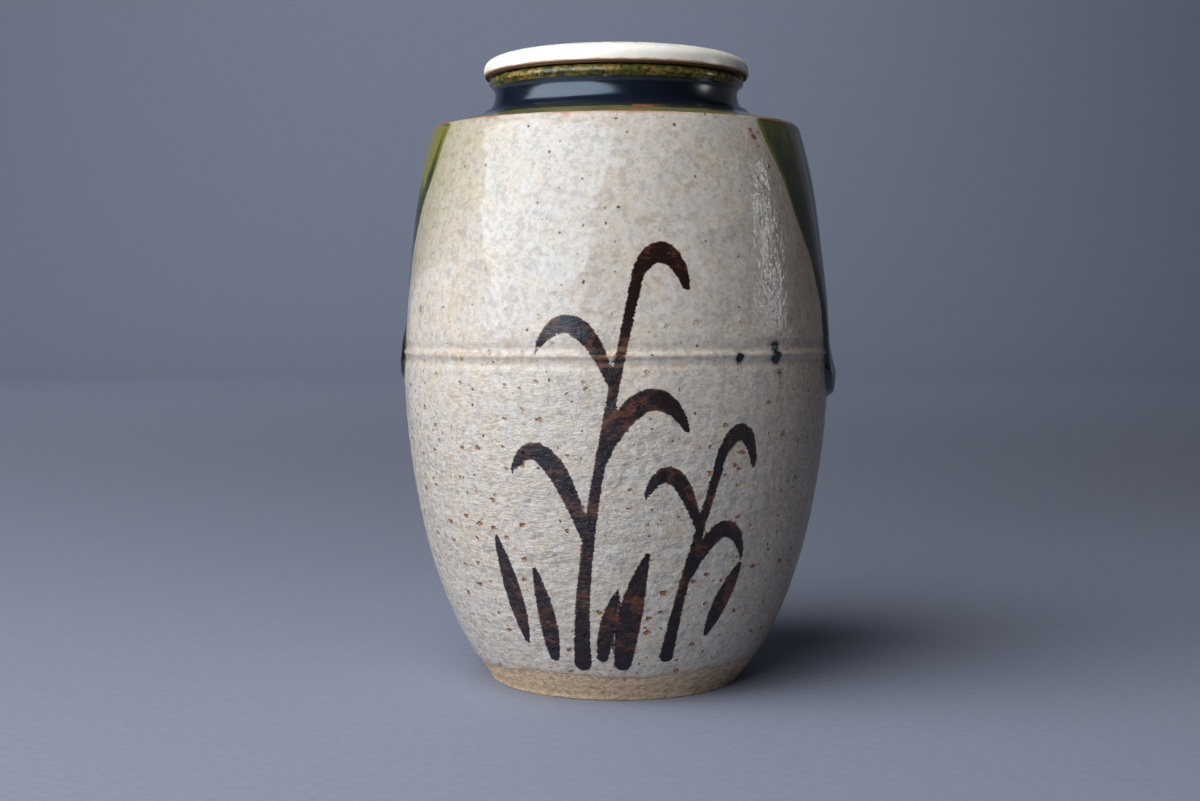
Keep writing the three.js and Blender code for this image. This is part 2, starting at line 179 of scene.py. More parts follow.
# Brushed reeds on the front. Each stroke has places as (direction, height in millimetres), and its
# widths at the start, the middle and the end, in millimetres.
REED_STROKES = (
    (((-12, 6), (-9, 20), (-4, 36), (1, 50), (5, 60)), (2.5, 1.5, 1.7)),
    (((4, 58), (8, 62), (13, 62), (17, 58)), (1.1, 2.8, 1.2)),
    (((-8, 23), (-14, 32), (-21, 36), (-28, 33)), (0.9, 2.9, 0.6)),
    (((-5, 33), (2, 41), (10, 43), (17, 39)), (0.9, 3.1, 0.9)),
    (((-1, 44), (-7, 51), (-14, 53), (-21, 49)), (0.8, 2.7, 0.6)),
    (((17, 7), (19, 17), (23, 27), (27, 36)), (2.1, 1.4, 1.6)),
    (((26, 34), (30, 38), (34, 38), (37, 34)), (1.0, 2.4, 1.0)),
    (((20, 18), (26, 24), (32, 25), (37, 21)), (0.8, 2.5, 0.6)),
    (((22, 25), (17, 31), (12, 33), (7, 30)), (0.8, 2.4, 0.7)),
    (((-31, 9), (-32, 16), (-35, 24)), (0.8, 2.7, 0.7)),
    (((-22, 7), (-22, 13), (-24, 20)), (1.7, 2.6, 0.6)),
    (((2, 6), (4, 14), (8, 22)), (2.4, 3.3, 0.8)),
    (((-5, 7), (-3, 12), (0, 17)), (1.6, 2.2, 0.6)),
    (((30, 10), (33, 15), (37, 20)), (0.9, 2.7, 0.8)),
)

# Small marks of the firing, as (direction, height, radius), heights and radii in millimetres:
# spots where the green has splashed, spots where iron has burned through, and blushes in the green
GREEN_SPLASHES = (
    (31.2, 48.5, 0.75), (43.2, 49.9, 0.85), (43.4, 48.4, 1.05), (44.3, 46.3, 0.45), (-64, 55.0, 0.4),
    (172, 58.0, 0.8), (188, 52.5, 0.5), (181, 63.0, 0.4),
)
IRON_SPOTS = (
    (41.5, 79.3, 0.5), (42.5, 78.4, 0.55), (-27, 61.5, 0.35), (31, 34.0, 0.45), (-40, 30.0, 0.4),
    (160, 31.0, 0.7), (196, 70.0, 0.5),
)
BLUSHES = tuple((direction, 82.65, 0.8) for direction in range(7, 19, 2))

# Values in millimetres for places well outside a stroke or spot, and far from the green glaze
OUTSIDE = -3.0
FAR_AWAY = 9.0

# How far past a stroke its values are worked out, and where its ends lie, as shares of its length
STROKE_MARGIN = 5 * MM
STROKE_START = (0.02, 0.16)
STROKE_END = (0.8, 0.97)

# Softness of the edge of a speck, as a share of its cell
SPECK_SOFTNESS = 0.04

# The marks of the cutting string: the point that they curve round, their distance, and the heights
# between which they fade out above the base
STRING_CENTRE = (11 * MM, -7 * MM, 0)
STRING_PITCH = 1.7 * MM
BASE_FADE = (0.3 * MM, 0.1 * MM)

# Where looks change over the jar. Each change begins at the first place and is whole at the second:
# in height for the pitted low wall, and across, with the right above 0, for the sides that turn
# amber near the green, that carry tan as painted shade, and that sparkle with a finer skin
LOW_WALL = (62 * MM, 30 * MM)
LEFT_SIDE = (4 * MM, -20 * MM)
SHADED_RIGHT_SIDE = (13 * MM, 30 * MM)
SPARKLING_SIDE = (14 * MM, 19 * MM)

# How far below the shoulder the green has drained and looks thinner, and how far from the middle of
# the turned line or a groove the tan fades
DRAINED_HEIGHT = 26 * MM
LINE_FADE = (0.5 * MM, 0.1 * MM)

# Fading of the brown-red edging and of the yellow above the lid's ledge, and of the darkened outer
# edge of the paper, as distances inwards
EDGING_FADE = (0.34 * MM, 0.16 * MM)
YELLOW_FADE = (0.6 * MM, 0.2 * MM)
OUTER_EDGE_FADE = (0.7 * MM, 0.2 * MM)


def length(name, description, millimetres):
    """A length that the user may change, given in millimetres and kept in metres."""
    return FloatProperty(name=name, description=description, default=millimetres * MM, min=0,
                         unit="LENGTH", subtype="DISTANCE", precision=5)


def colour(name, description, red, green, blue):
    """A colour that the user may change, given as it looks on a screen, from 0 to 255."""
    def linear(value):
        share = value / 255
        return share / 12.92 if share <= 0.04045 else ((share + 0.055) / 1.055) ** 2.4
    return FloatVectorProperty(name=name, description=description, subtype="COLOR", size=3, min=0,
                               max=1, default=(linear(red), linear(green), linear(blue)))


class JarSizes(bpy.types.PropertyGroup):
    """Sizes of the jar."""

    foot_radius: length("Foot radius", "Radius of the flat foot", 18.85)
    belly_radius: length("Belly radius", "Largest radius of the wall", 31.5)
    belly_height: length("Belly height", "Height of the largest radius", 45)
    shoulder_radius: length("Shoulder radius", "Radius at the edge of the shoulder", 26.92)
    shoulder_height: length("Shoulder height", "Height of the edge of the shoulder", 81)
    shoulder_rise: length("Shoulder rise", "Rise from the edge to the foot of the neck", 1.6)
    shoulder_edge: length("Shoulder edge", "Width of the rounded edge of the shoulder", 0.7)
    neck_radius: length("Neck radius", "Radius of the waist of the neck", 17.8)
    neck_flare: length("Neck flare", "How far the neck spreads at its foot", 3.5)
    waist_rise: length("Waist rise", "Rise from the foot of the neck to its waist", 3.55)
    lip_rise: length("Lip rise", "Rise from the waist to the foot of the lip", 1.35)
    lip_proud: length("Lip overhang", "How far the lip stands out past the waist", 1.05)
    rim_height: length("Rim height", "Height of the flat rim", JAR_TOP.z / MM)
    wall: length("Wall", "Thickness of the wall", 3)
    neck_wall: length("Neck wall", "Thickness of the wall in the neck", 2.3)
    floor: length("Floor", "Thickness of the floor", 4.2)
    floor_inset: length("Floor inset", "How far the floor inside stays within the foot", 4.85)
    foot_bevel: length("Foot bevel", "Worn edge of the foot", 0.4)
    ridge_rise: length("Ridge rise", "Rise from the belly to the turned line", 3.7)
    ridge_width: length("Ridge width", "Width of the turned line", 0.8)
    ridge_proud: length("Ridge height", "How far the turned line stands out", 0.18)
    groove_width: length("Groove width", "Width of the groove on each side of the line", 1.3)
    groove_depth: length("Groove depth", "Depth of the groove on each side of the line", 0.15)
    lip_foot_share: FloatProperty(name="Lip foot", subtype="FACTOR", default=0.7, min=0, max=1,
                                  description="How much of its overhang the lip has at its foot")
    bare_height: length("Bare clay", "Height of the clay left bare above the foot", 3.8)
    glaze_step: length("Glaze step", "Thickness of the cream glaze at its lower edge", 0.14)
    columns: IntProperty(name="Columns", description="Steps round the jar", default=352, min=64)


class GreenSizes(bpy.types.PropertyGroup):
    """Sizes of the coat of green glaze."""

    collar_thickness: length("Collar thickness", "Thickness on the neck", 0.24)
    run_thickness: length("Run thickness", "Thickness above the turned line", 0.5)
    edge: length("Rounded edge", "Width over which an edge rounds over", 0.95)
    side_steepness: FloatProperty(name="Side steepness", default=0.15, min=0.05, max=1,
                                  description="How steeply the sides of a run rise, against its foot")
    foot_steepness: FloatProperty(name="Foot steepness", default=0.5, min=0.05, max=1,
                                  description="How steeply the sides rise near the turned line")
    fill: length("Fill", "How far the glaze of a run fills the foot of the neck", 0.7)
    fill_rise: length("Fill rise", "How far above that foot the fill is thickest", 2.6)
    fill_spread: length("Fill spread", "Half height of the fill", 1.5)
    rim: length("Thin rim", "Width of the rim that looks thin", 0.06)
    lip_clear: length("Bare lip", "How far below the foot of the lip the thick glaze begins", 0.2)
    top_wave: length("Top wave", "How far the upper edge of the thick glaze wanders", 0.22)
    wave: length("Collar wave", "How far the foot of the collar wanders", 0.35)
    wander: length("Side wander", "How far the sides of a run wander", 0.3)
    fillet: length("Corner", "Softness of the corners between the collar and the runs", 2.2)
    skirt: length("Skirt", "How far the coat goes on, sunk in the wall, past its edge", 1.4)
    sunk: length("Sunk depth", "How deep the skirt is sunk", 0.2)
    backing: length("Backing", "Thickness of the coat behind its surface", 1.5)
    drip_spread: length("Drip spread", "Half height of the swelling of a drip", 3.2)
    columns: IntProperty(name="Columns", description="Steps round the coat", default=512, min=64)


class LidSizes(bpy.types.PropertyGroup):
    """Sizes of the lid and its lining."""

    radius: length("Lid radius", "Radius of the lid", LID_TOP.x / MM)
    thickness: length("Lid thickness", "From the ledge to the crest", 3.1)
    edge_break: length("Edge break", "Worn lower edge", 0.15)
    edge_reach: length("Edge reach", "Width of the rounded edge", 9.7)
    dish_radius: length("Dish radius", "Radius of the dish turned in the top", 11.6)
    dish_depth: length("Dish depth", "Depth of the dish", 1.5)
    knob_radius: length("Knob radius", "Radius of the knob", 2.8)
    stem_radius: length("Stem radius", "Radius of the knob's stem", 1.7)
    knob_height: length("Knob height", "Height of the knob above the dish", 2.7)
    boss_depth: length("Boss depth", "Depth of the boss in the mouth", 1.5)
    boss_clear: length("Boss clearance", "Gap between the lined boss and the mouth", 0.4)
    lining: length("Lining", "Thickness of the gilt paper", 0.2)
    glue: length("Glue", "Gap between the paper and the lid", 0.05)
    columns: IntProperty(name="Columns", description="Steps round the lid", default=288, min=64)


class Colours(bpy.types.PropertyGroup):
    """Colours of the glazes, the clay, the lid and the paper."""

    cream: colour("Cream", "Cool ground of the cream glaze", 207, 202, 195)
    warm: colour("Warm cream", "Warm patches of the cream glaze", 210, 200, 184)
    pale: colour("Pale cream", "Palest grains of the cream glaze", 222, 219, 214)
    grey: colour("Grey", "Grey shades in the cream glaze", 142, 136, 132)
    tan: colour("Tan", "Tan mottling and crackle", 172, 138, 106)
    rust: colour("Rust", "Rust of the iron specks and the brushwork", 92, 56, 38)
    iron: colour("Iron", "Dark iron pigment of the brushwork", 38, 26, 24)
    clay: colour("Clay", "Bare clay of the foot", 244, 218, 184)
    clay_dark: colour("Dark clay", "Darker grains of the clay", 206, 172, 138)
    amber: colour("Amber", "Thin green glaze, where it turns amber", 122, 116, 60)
    honey: colour("Honey", "Glaze on the lip, where it is thinnest", 166, 140, 78)
    olive: colour("Olive", "Thin green glaze", 80, 88, 44)
    green: colour("Green", "Green glaze of middling thickness", 52, 60, 42)
    deep: colour("Deep green", "Thick green glaze", 22, 26, 25)
    blue: colour("Blue black", "Green glaze where it pools on the neck", 15, 22, 40)
    pit: colour("Pit", "Clay that shows in the pits", 180, 124, 74)
    blush: colour("Blush", "Orange-red burns", 186, 92, 48)
    ivory: colour("Ivory", "Ground of the lid", 252, 248, 237)
    ivory_dark: colour("Old ivory", "Yellowed grain of the lid", 232, 218, 188)
    edging: colour("Edging", "Brown-red stain along the lid's lower edge", 172, 92, 50)
    gold: colour("Gold", "Gold leaf", 206, 160, 84)
    paper: colour("Paper", "Paper where the leaf has worn", 120, 82, 52)


class StageSettings(bpy.types.PropertyGroup):
    """The floor, the lights and the camera."""

    floor: colour("Floor", "Colour of the floor and backdrop", 141, 148, 168)
    floor_size: length("Floor size", "Side of the floor", 3000)
    backdrop: length("Backdrop height", "Height of the backdrop", 1400)
    fold: length("Fold", "Radius of the fold between the floor and the backdrop", 500)
    lens: FloatProperty(name="Lens", description="Focal length in millimetres", default=50, min=1)
    camera_away: length("Camera distance", "From the axis of the jar to the camera", 250)
    camera_height: length("Camera height", "Height of the camera", 55.9)
    camera_side: length("Camera side", "How far the camera stands to the left", 2.4)
    camera_pitch: FloatProperty(name="Camera pitch", description="How far the camera looks down",
                                default=math.radians(3.38), subtype="ANGLE", unit="ROTATION")
    key_watts: FloatProperty(name="Key light", description="Power of the large soft light", default=13)
    top_watts: FloatProperty(name="Top light", description="Power of the light overhead", default=0.92)
    side_watts: FloatProperty(name="Side light", description="Power of the narrow light", default=0.46)
    rear_watts: FloatProperty(name="Rear light", description="Power of the dim light on the right",
                              default=0.056)
    back_watts: FloatProperty(name="Back light", description="Power of the light on the backdrop",
                              default=8)
    ambient: FloatProperty(name="Ambient", description="Strength of the light all round",
                           default=0.004)


def bezier(start, first, second, end, count):
    """Points along a cubic curve given by its ends and handles."""
    share = np.linspace(0, 1, count)[:, None]
    rest = 1 - share
    return (rest ** 3 * np.array(start) + 3 * rest ** 2 * share * np.array(first)
            + 3 * rest * share ** 2 * np.array(second) + share ** 3 * np.array(end))


def between(low, high, share):
    """The value at a share of the way from low to high."""
    return low + (high - low) * share


def smooth(value, low, high):
    """0 below low and 1 above high, with an even rise between them."""
    share = np.clip((value - low) / (high - low), 0, 1)
    return share * share * (3 - 2 * share)


def lengths_along(line):
    """The distance of each point of a line from its start, along the line."""
    return np.concatenate(([0], np.cumsum(np.hypot(*np.diff(line, axis=0).T))))


def resampled(line, spacing):
    """The same line with points at even spacing."""
    along = lengths_along(line)
    count = max(2, math.ceil(along[-1] / spacing) + 1)
    places = np.linspace(0, along[-1], count)
    return np.column_stack([np.interp(places, along, line[:, axis]) for axis in (0, 1)])


def lower_wall(jar, start_radius, start_height, end_radius, count=400):
    """The swelling wall from the foot to the belly, as radii and heights."""
    shares = LOWER_WALL_SHARES
    return bezier(
        (start_radius, start_height),
        (between(start_radius, end_radius, shares["start_width"]),
         between(start_height, jar.belly_height, shares["start_rise"])),
        (end_radius, between(start_height, jar.belly_height, shares["end_rise"])),
        (end_radius, jar.belly_height), count)


def upper_wall(jar, start_radius, end_radius, end_height, count=400):
    """The wall drawn in from the belly to the shoulder."""
    shares = UPPER_WALL_SHARES
    return bezier(
        (start_radius, jar.belly_height),
        (start_radius, between(jar.belly_height, end_height, shares["start_rise"])),
        (between(end_radius, start_radius, shares["end_width"]),
         between(jar.belly_height, end_height, shares["end_rise"])),
        (end_radius, end_height), count)


def neck_foot_height(jar):
    """The height where the shelf of the shoulder meets the neck."""
    return jar.shoulder_height + jar.shoulder_rise


def waist_height(jar):
    """The height of the narrowest part of the neck."""
    return neck_foot_height(jar) + jar.waist_rise


def lip_foot_height(jar):
    """The height where the neck ends in the rolled lip."""
    return waist_height(jar) + jar.lip_rise


def ridge_height(jar):
    """The height of the turned line round the belly."""
    return jar.belly_height + jar.ridge_rise


def groove_aside(jar):
    """From the middle of the turned line to the middle of the groove beside it."""
    return (jar.ridge_width + jar.groove_width) / 2


def shoulder_line(jar, count=60):
    """The rounded edge of the shoulder and its slope, up to the foot of the neck."""
    foot = np.array((jar.neck_radius + jar.neck_flare, neck_foot_height(jar)))
    edge = np.array((jar.shoulder_radius, jar.shoulder_height))
    share = jar.shoulder_edge / (jar.shoulder_radius - foot[0])
    end = np.array((jar.shoulder_radius - jar.shoulder_edge,
                    between(edge[1], foot[1], share) + jar.shoulder_edge / 4))
    corner = (jar.shoulder_radius - jar.shoulder_edge / 8, end[1] - jar.shoulder_edge / 12)
    return np.vstack((bezier(edge, corner, corner, end, count), [foot]))


def neck_line(jar, count=80):
    """The waisted neck, from its foot to the foot of the lip, into which it flares."""
    foot = neck_foot_height(jar)
    waist = waist_height(jar)
    shares = NECK_SHARES
    curve = bezier(
        (jar.neck_radius + jar.neck_flare, foot),
        (jar.neck_radius + jar.neck_flare * shares["start_width"],
         foot + jar.waist_rise * shares["start_rise"]),
        (jar.neck_radius, foot + jar.waist_rise * shares["end_rise"]),
        (jar.neck_radius, waist), count)
    flare = jar.lip_proud * jar.lip_foot_share
    shares = UNDER_LIP_SHARES
    top = bezier((jar.neck_radius, waist),
                 (jar.neck_radius, waist + jar.lip_rise * shares["start_rise"]),
                 (jar.neck_radius + flare * shares["end_width"],
                  waist + jar.lip_rise * shares["end_rise"]),
                 (jar.neck_radius + flare, lip_foot_height(jar)), count)
    return np.vstack((curve, top[1:]))


def plain_wall(jar):
    """The whole outer wall without the turned line, from the bevel of the foot to the lip."""
    lower = lower_wall(jar, jar.foot_radius, jar.foot_bevel, jar.belly_radius)
    upper = upper_wall(jar, jar.belly_radius, jar.shoulder_radius, jar.shoulder_height)
    return np.vstack((lower, upper[1:], shoulder_line(jar)[1:], neck_line(jar)[1:]))


def wall_radius(jar, height):
    """The radius of the plain wall at a height."""
    wall = plain_wall(jar)
    return np.interp(height, wall[:, 1], wall[:, 0])


def cut_out(line, low, high):
    """The stretch of a rising line between two heights."""
    inside = line[(line[:, 1] > low) & (line[:, 1] < high)]
    ends = [(np.interp(height, line[:, 1], line[:, 0]), height) for height in (low, high)]
    return np.vstack((ends[0], inside, ends[1]))


def lip_line(jar, count=9):
    """The rolled lip, the flat rim and the edge of the mouth."""
    shares = LIP_SHARES
    low = lip_foot_height(jar)
    high = jar.rim_height
    middle = between(low, high, shares["middle"])
    roll = high - middle
    out = jar.neck_radius + jar.lip_proud
    foot = jar.neck_radius + jar.lip_proud * jar.lip_foot_share
    under = bezier((foot, low), (between(foot, out, shares["start_width"]),
                                 between(low, middle, shares["start_rise"])),
                   (out, between(low, middle, shares["bulge_rise"])), (out, middle), count)
    over = bezier((out, middle), (out, middle + roll * shares["roll_rise"]), (out - roll / 4, high),
                  (out - jar.lip_proud / 2, high), count)
    mouth = jar.neck_radius - jar.neck_wall
    round_over = roll * shares["mouth_edge"]
    inner = bezier((mouth + round_over, high), (mouth + round_over / 3, high),
                   (mouth, high - round_over / 3), (mouth, high - round_over), count)
    return np.vstack((under[1:], over[1:], inner))


def hollow_line(jar, count=60):
    """The hollow, from the mouth down to the floor."""
    mouth = jar.neck_radius - jar.neck_wall
    corner = (jar.shoulder_radius - jar.wall, jar.shoulder_height - jar.wall)
    shares = CEILING_SHARES
    ceiling = bezier(
        (mouth, jar.shoulder_height),
        (mouth, between(corner[1], jar.shoulder_height, shares["start_rise"])),
        (between(mouth, corner[0], shares["width"]),
         between(corner[1], jar.shoulder_height, 1 - shares["end_rise"])),
        corner, count)
    belly = jar.belly_radius - jar.wall
    upper = upper_wall(jar, belly, *corner)[::-1]
    lower = lower_wall(jar, jar.foot_radius - jar.floor_inset, jar.floor, belly)[::-1]
    return np.vstack((ceiling, upper[1:], lower[1:]))


def jar_outline(jar):
    """The closed outline of the jar, closest where it bends most, from the base to the floor."""
    line_half = jar.ridge_width / 2 + jar.groove_width + jar.ridge_proud
    line_low = ridge_height(jar) - line_half
    line_high = ridge_height(jar) + line_half
    corner_low = jar.shoulder_height - jar.shoulder_edge / 2
    corner_high = shoulder_line(jar)[-2][1]
    foot_edge = jar.foot_radius - jar.foot_bevel
    bevel = bezier((foot_edge, 0), (jar.foot_radius - jar.foot_bevel / 3, 0),
                   (jar.foot_radius, jar.foot_bevel / 3), (jar.foot_radius, jar.foot_bevel), 5)
    wall = plain_wall(jar)
    lip = lip_line(jar)
    hollow = hollow_line(jar)
    stretches = {
        "base": np.array([(0, 0), (foot_edge, 0)]),
        "bevel": bevel,
        "lower wall": cut_out(wall, jar.foot_bevel, line_low),
        "turned line": cut_out(wall, line_low, line_high),
        "upper wall": cut_out(wall, line_high, corner_low),
        "shoulder": cut_out(wall, corner_low, corner_high),
        "neck": cut_out(wall, corner_high, lip_foot_height(jar)),
        "lip": lip,
        "mouth": np.array([lip[-1], hollow[0]]),
        "hollow": hollow,
        "floor": np.array([hollow[-1], (0, jar.floor)]),
    }
    outline = np.vstack([resampled(line, JAR_SPACING[name]) if name in JAR_SPACING else line
                         for name, line in stretches.items()])
    apart = np.hypot(*np.diff(outline, axis=0).T) > MM / 100
    return outline[np.concatenate(([True], apart))]


def lathe(name, outline, columns):
    """Extrudes one vertex along an outline of radii and heights, spins it through an eighth of a
    turn, and doubles the result three times, to a whole turn."""
    bpy.ops.object.select_all(action="DESELECT")
    radius, height = outline[0]
    bpy.ops.mesh.primitive_plane_add(size=MM, location=(radius, 0, height))
    piece = bpy.context.active_object
    piece.name = piece.data.name = name
    bpy.ops.object.transform_apply(location=True, rotation=False, scale=False)
    bpy.ops.object.mode_set(mode="EDIT")
    bpy.ops.mesh.select_all(action="SELECT")
    bpy.ops.mesh.merge(type="CENTER")
    for out, up in np.diff(outline, axis=0):
        bpy.ops.mesh.extrude_vertices_move(TRANSFORM_OT_translate={"value": (out, 0, up)})
    bpy.ops.mesh.select_all(action="SELECT")
    bpy.ops.mesh.spin(steps=columns // 8, angle=math.tau / 8, center=(0, 0, 0), axis=(0, 0, 1))
    for turn in (math.tau / 8, math.tau / 4, math.tau / 2):
        bpy.ops.mesh.select_all(action="SELECT")
        bpy.ops.mesh.duplicate()
        bpy.ops.transform.rotate(value=turn, orient_axis="Z", center_override=(0, 0, 0))
    bpy.ops.mesh.select_all(action="SELECT")
    bpy.ops.mesh.remove_doubles(threshold=MM / 500)
    bpy.ops.mesh.normals_make_consistent(inside=False)
    bpy.ops.object.mode_set(mode="OBJECT")
    bpy.ops.object.shade_smooth()
    return piece


def points_of(piece):
    """The vertices of a piece, one row each."""
    flat = np.empty(len(piece.data.vertices) * 3)
    piece.data.vertices.foreach_get("co", flat)
    return flat.reshape(-1, 3)


def move_points(piece, points):
    """Moves the vertices of a piece to the given points."""
    piece.data.vertices.foreach_set("co", points.ravel())
    piece.data.update()


def set_values(piece, name, values):
    """Keeps a value at each vertex, for the materials."""
    attribute = piece.data.attributes.new(name, "FLOAT", "POINT")
    attribute.data.foreach_set("value", np.asarray(values, np.float32))


def polar(points):
    """Radius, direction and height of each point."""
    radius = np.hypot(points[:, 0], points[:, 1])
    return radius, np.degrees(np.arctan2(points[:, 0], -points[:, 1])), points[:, 2]


def placed(radius, angle, height):
    """The point at a radius, a direction and a height."""
    turn = np.radians(angle)
    return np.column_stack((radius * np.sin(turn), -radius * np.cos(turn), height))


def drift(angle, height, strength, size, seed, count=9):
    """A smooth wandering as far as about the strength either way, which closes round the jar. Its
    waves are about as long as size, or longer."""
    chance = np.random.default_rng(seed)
    most_turns = max(2, round(math.tau * TYPICAL_RADIUS / size))
    total = 0
    for _ in range(count):
        turns = chance.integers(-most_turns, most_turns + 1)
        rise = chance.uniform(0.3, 1) / size
        total = total + np.sin(np.radians(angle) * turns + height * rise * math.tau
                               + chance.uniform(0, math.tau))
    return strength * total / math.sqrt(count)


def finger_rings(angle, height, pitch, starts=1):
    """Waves from -1 to 1 that climb round the jar in a spiral, as a thrower's fingers leave them."""
    return np.sin((height / pitch + angle / 360) * starts * math.tau)


def bump(value, half_width):
    """A raised cosine: 1 at 0, and 0 from the half width on."""
    return np.where(np.abs(value) < half_width, (1 + np.cos(np.pi * value / half_width)) / 2, 0)


def hand_relief(jar, angle, height):
    """How far the thrown wall stands out from its true circle."""
    out = drift(angle, height, *WALL_SWAY) + drift(angle, height, *WALL_DENTS)
    lowness = 1 - smooth(height, *RING_FADE)
    rings = finger_rings(angle, height, RING_PITCH)
    rings = rings + FINE_RING_SHARE * finger_rings(angle, height, RING_PITCH, starts=2)
    strength = between(*RING_DEPTHS, lowness) * (1 + drift(angle, height, *RING_DRIFT))
    neck = 1 - smooth(height, jar.shoulder_height - MM, jar.shoulder_height)
    foot = smooth(height, 0, RING_START)
    return (out + rings * strength) * neck * foot


def turned_line(jar, angle, height):
    """The ridge round the belly and the grooves that set it off."""
    above = height - ridge_height(jar) - LINE_SWAY * np.sin(np.radians(angle * LINE_SWAYS + LINE_START))
    ridge = bump(above, jar.ridge_width * LINE_SPREAD_SHARE) * jar.ridge_proud
    grooves = bump(np.abs(above) - groove_aside(jar), jar.groove_width * LINE_SPREAD_SHARE)
    return (ridge - grooves * jar.groove_depth) * (1 + drift(angle, 0, *LINE_WEAR))


def above_bare_clay(jar, angle, height):
    """How far a place on the wall is above the lower edge of the cream glaze."""
    line = jar.bare_height + drift(angle, 0, *GLAZE_EDGE_SWAY) + drift(angle, 0, *GLAZE_EDGE_RIPPLE)
    return height - line - GLAZE_EDGE_TILT * np.sin(np.radians(angle))


def down_at(jar, height):
    """How far down from the lip, along the wall, a height is."""
    wall = plain_wall(jar)[::-1]
    return np.interp(height, wall[::-1, 1], lengths_along(wall)[::-1])


def softer(first, second, width):
    """The larger of two distances, with a soft corner where they are alike."""
    blend = np.clip(0.5 + 0.5 * (first - second) / width, 0, 1)
    return between(second, first, blend) + width * blend * (1 - blend)


def side_angle(side, down, collar, line):
    """The direction of one side of a run at each distance down from the lip."""
    share = np.clip((down - collar) / ((line - collar) * SIDE_LENGTH_SHARE), 0, 1)
    swell = side["swell"] * smooth(down, line - SWELL_ABOVE_LINE, line - MM)
    return between(side["top"], side["foot"], share ** side["power"]) + swell


def run_reach(angle, line):
    """How far down from the lip the runs reach in each direction."""
    reach = np.full_like(angle, line)
    for run in RUNS:
        for drip in run["drips"]:
            side = np.clip((angle - drip["angle"]) / drip["half_angle"], -1, 1)
            reach += drip["drop"] * np.sqrt(1 - side ** 2)
    return reach


def inside_green(jar, green, angle, radius, down):
    """How far inside the edge of the green glaze each place is. It is below 0 outside."""
    round_angle = np.mod(angle, 360)
    collar = down_at(jar, neck_foot_height(jar))
    line = down_at(jar, ridge_height(jar))
    inside = (collar + green.wave * np.sin(np.radians(round_angle * COLLAR_WAVES))
              + green.wander * drift(angle, down, *COLLAR_DRIFT) - down)
    wander = green.wander * drift(angle, down, *SIDE_DRIFT)
    aside = 0.5
    slope = (run_reach(round_angle + aside, line) - run_reach(round_angle - aside, line)) / (
        radius * math.radians(2 * aside))
    bottom = (run_reach(round_angle, line) - down) / np.hypot(1, slope)
    steepness = between(green.side_steepness, green.foot_steepness,
                        smooth(down, line - STEEPENING[0], line - STEEPENING[1]))
    for run in RUNS:
        start = side_angle(run["start"], down, collar, line)
        end = side_angle(run["end"], down, collar, line)
        side = np.radians(np.minimum(round_angle - start, end - round_angle)) * radius + wander
        inside = softer(inside, -softer(-side * steepness, -bottom, green.edge), green.fillet)
    top = green.lip_clear + green.top_wave * (drift(angle, 0, *TOP_DRIFT)
                                              + drift(angle, 0, *TOP_RIPPLE))
    return np.minimum(inside, (down - top) * TOP_STEEPNESS)


def green_body(jar, green, angle, down):
    """The thickness of the green glaze away from its edges."""
    round_angle = np.mod(angle, 360)
    collar = down_at(jar, neck_foot_height(jar))
    line = down_at(jar, ridge_height(jar))
    body = between(green.collar_thickness, green.run_thickness, smooth(down, collar, line))
    body = body * (1 + drift(angle, down, *COAT_DRIFT)) * smooth(down, *THIN_TOP)
    for run in RUNS:
        middle = between(run["start"]["top"], run["end"]["top"], 0.5)
        inward = 1 - np.abs(round_angle - middle) / (run["end"]["top"] - middle)
        level = (down - collar + green.fill_rise) / green.fill_spread
        body = body + green.fill * smooth(inward, 0, FILL_EDGE_SHARE) * np.exp(-level ** 2)
        for drip in run["drips"]:
            side = (round_angle - drip["angle"]) / drip["half_angle"]
            along = (down - (line + drip["drop"] - green.drip_spread)) / green.drip_spread
            body = body + drip["proud"] * np.exp(-2 * side ** 2 - along ** 2)
    return body


def thin_left_run(jar, angle, height, inside):
    """Where the left run lies thin: high on the wall, away from its edges."""
    round_angle = np.mod(angle, 360)
    (first, full), (fading, last) = THIN_DIRECTIONS
    left = smooth(round_angle, first, full) * (1 - smooth(round_angle, fading, last))
    high = smooth(height, *THIN_HEIGHTS)
    high = high * (1 - smooth(height, jar.shoulder_height, jar.shoulder_height + MM))
    return left * high * smooth(inside, *THIN_EDGE)


def green_height(jar, green, angle, radius, down):
    """How far the surface of the green glaze stands out from the wall, or is sunk in it."""
    inside = inside_green(jar, green, angle, radius, down)
    share = np.clip(inside / green.edge, -1, 1)
    shape = np.sin(share * math.pi / 2)
    return np.where(inside > 0, green_body(jar, green, angle, down) * shape, green.sunk * shape)


def stroke_path(places, count=26):
    """Even steps along a smooth curve through the places of a stroke."""
    places = np.array(places, float)
    knots = np.linspace(0, 1, len(places))
    degree = min(3, len(places) - 1)
    return np.column_stack([np.polyval(np.polyfit(knots, places[:, axis], degree),
                                       np.linspace(0, 1, count)) for axis in (0, 1)])


def stroke_values(path, half, points):
    """How far inside one stroke each point is, in millimetres, and its place along the stroke."""
    inside = np.full(len(points), OUTSIDE)
    place = np.zeros(len(points))
    share = np.linspace(0, 1, len(path))
    for index, (start, step) in enumerate(zip(path, np.diff(path, axis=0))):
        along = np.clip((points - start) @ step / (step @ step), 0, 1)
        away = np.linalg.norm(points - start - along[:, None] * step, axis=1)
        depth = (between(half[index], half[index + 1], along) - away) / MM
        better = depth > inside
        inside = np.where(better, depth, inside)
        place = np.where(better, between(share[index], share[index + 1], along), place)
    return inside, place


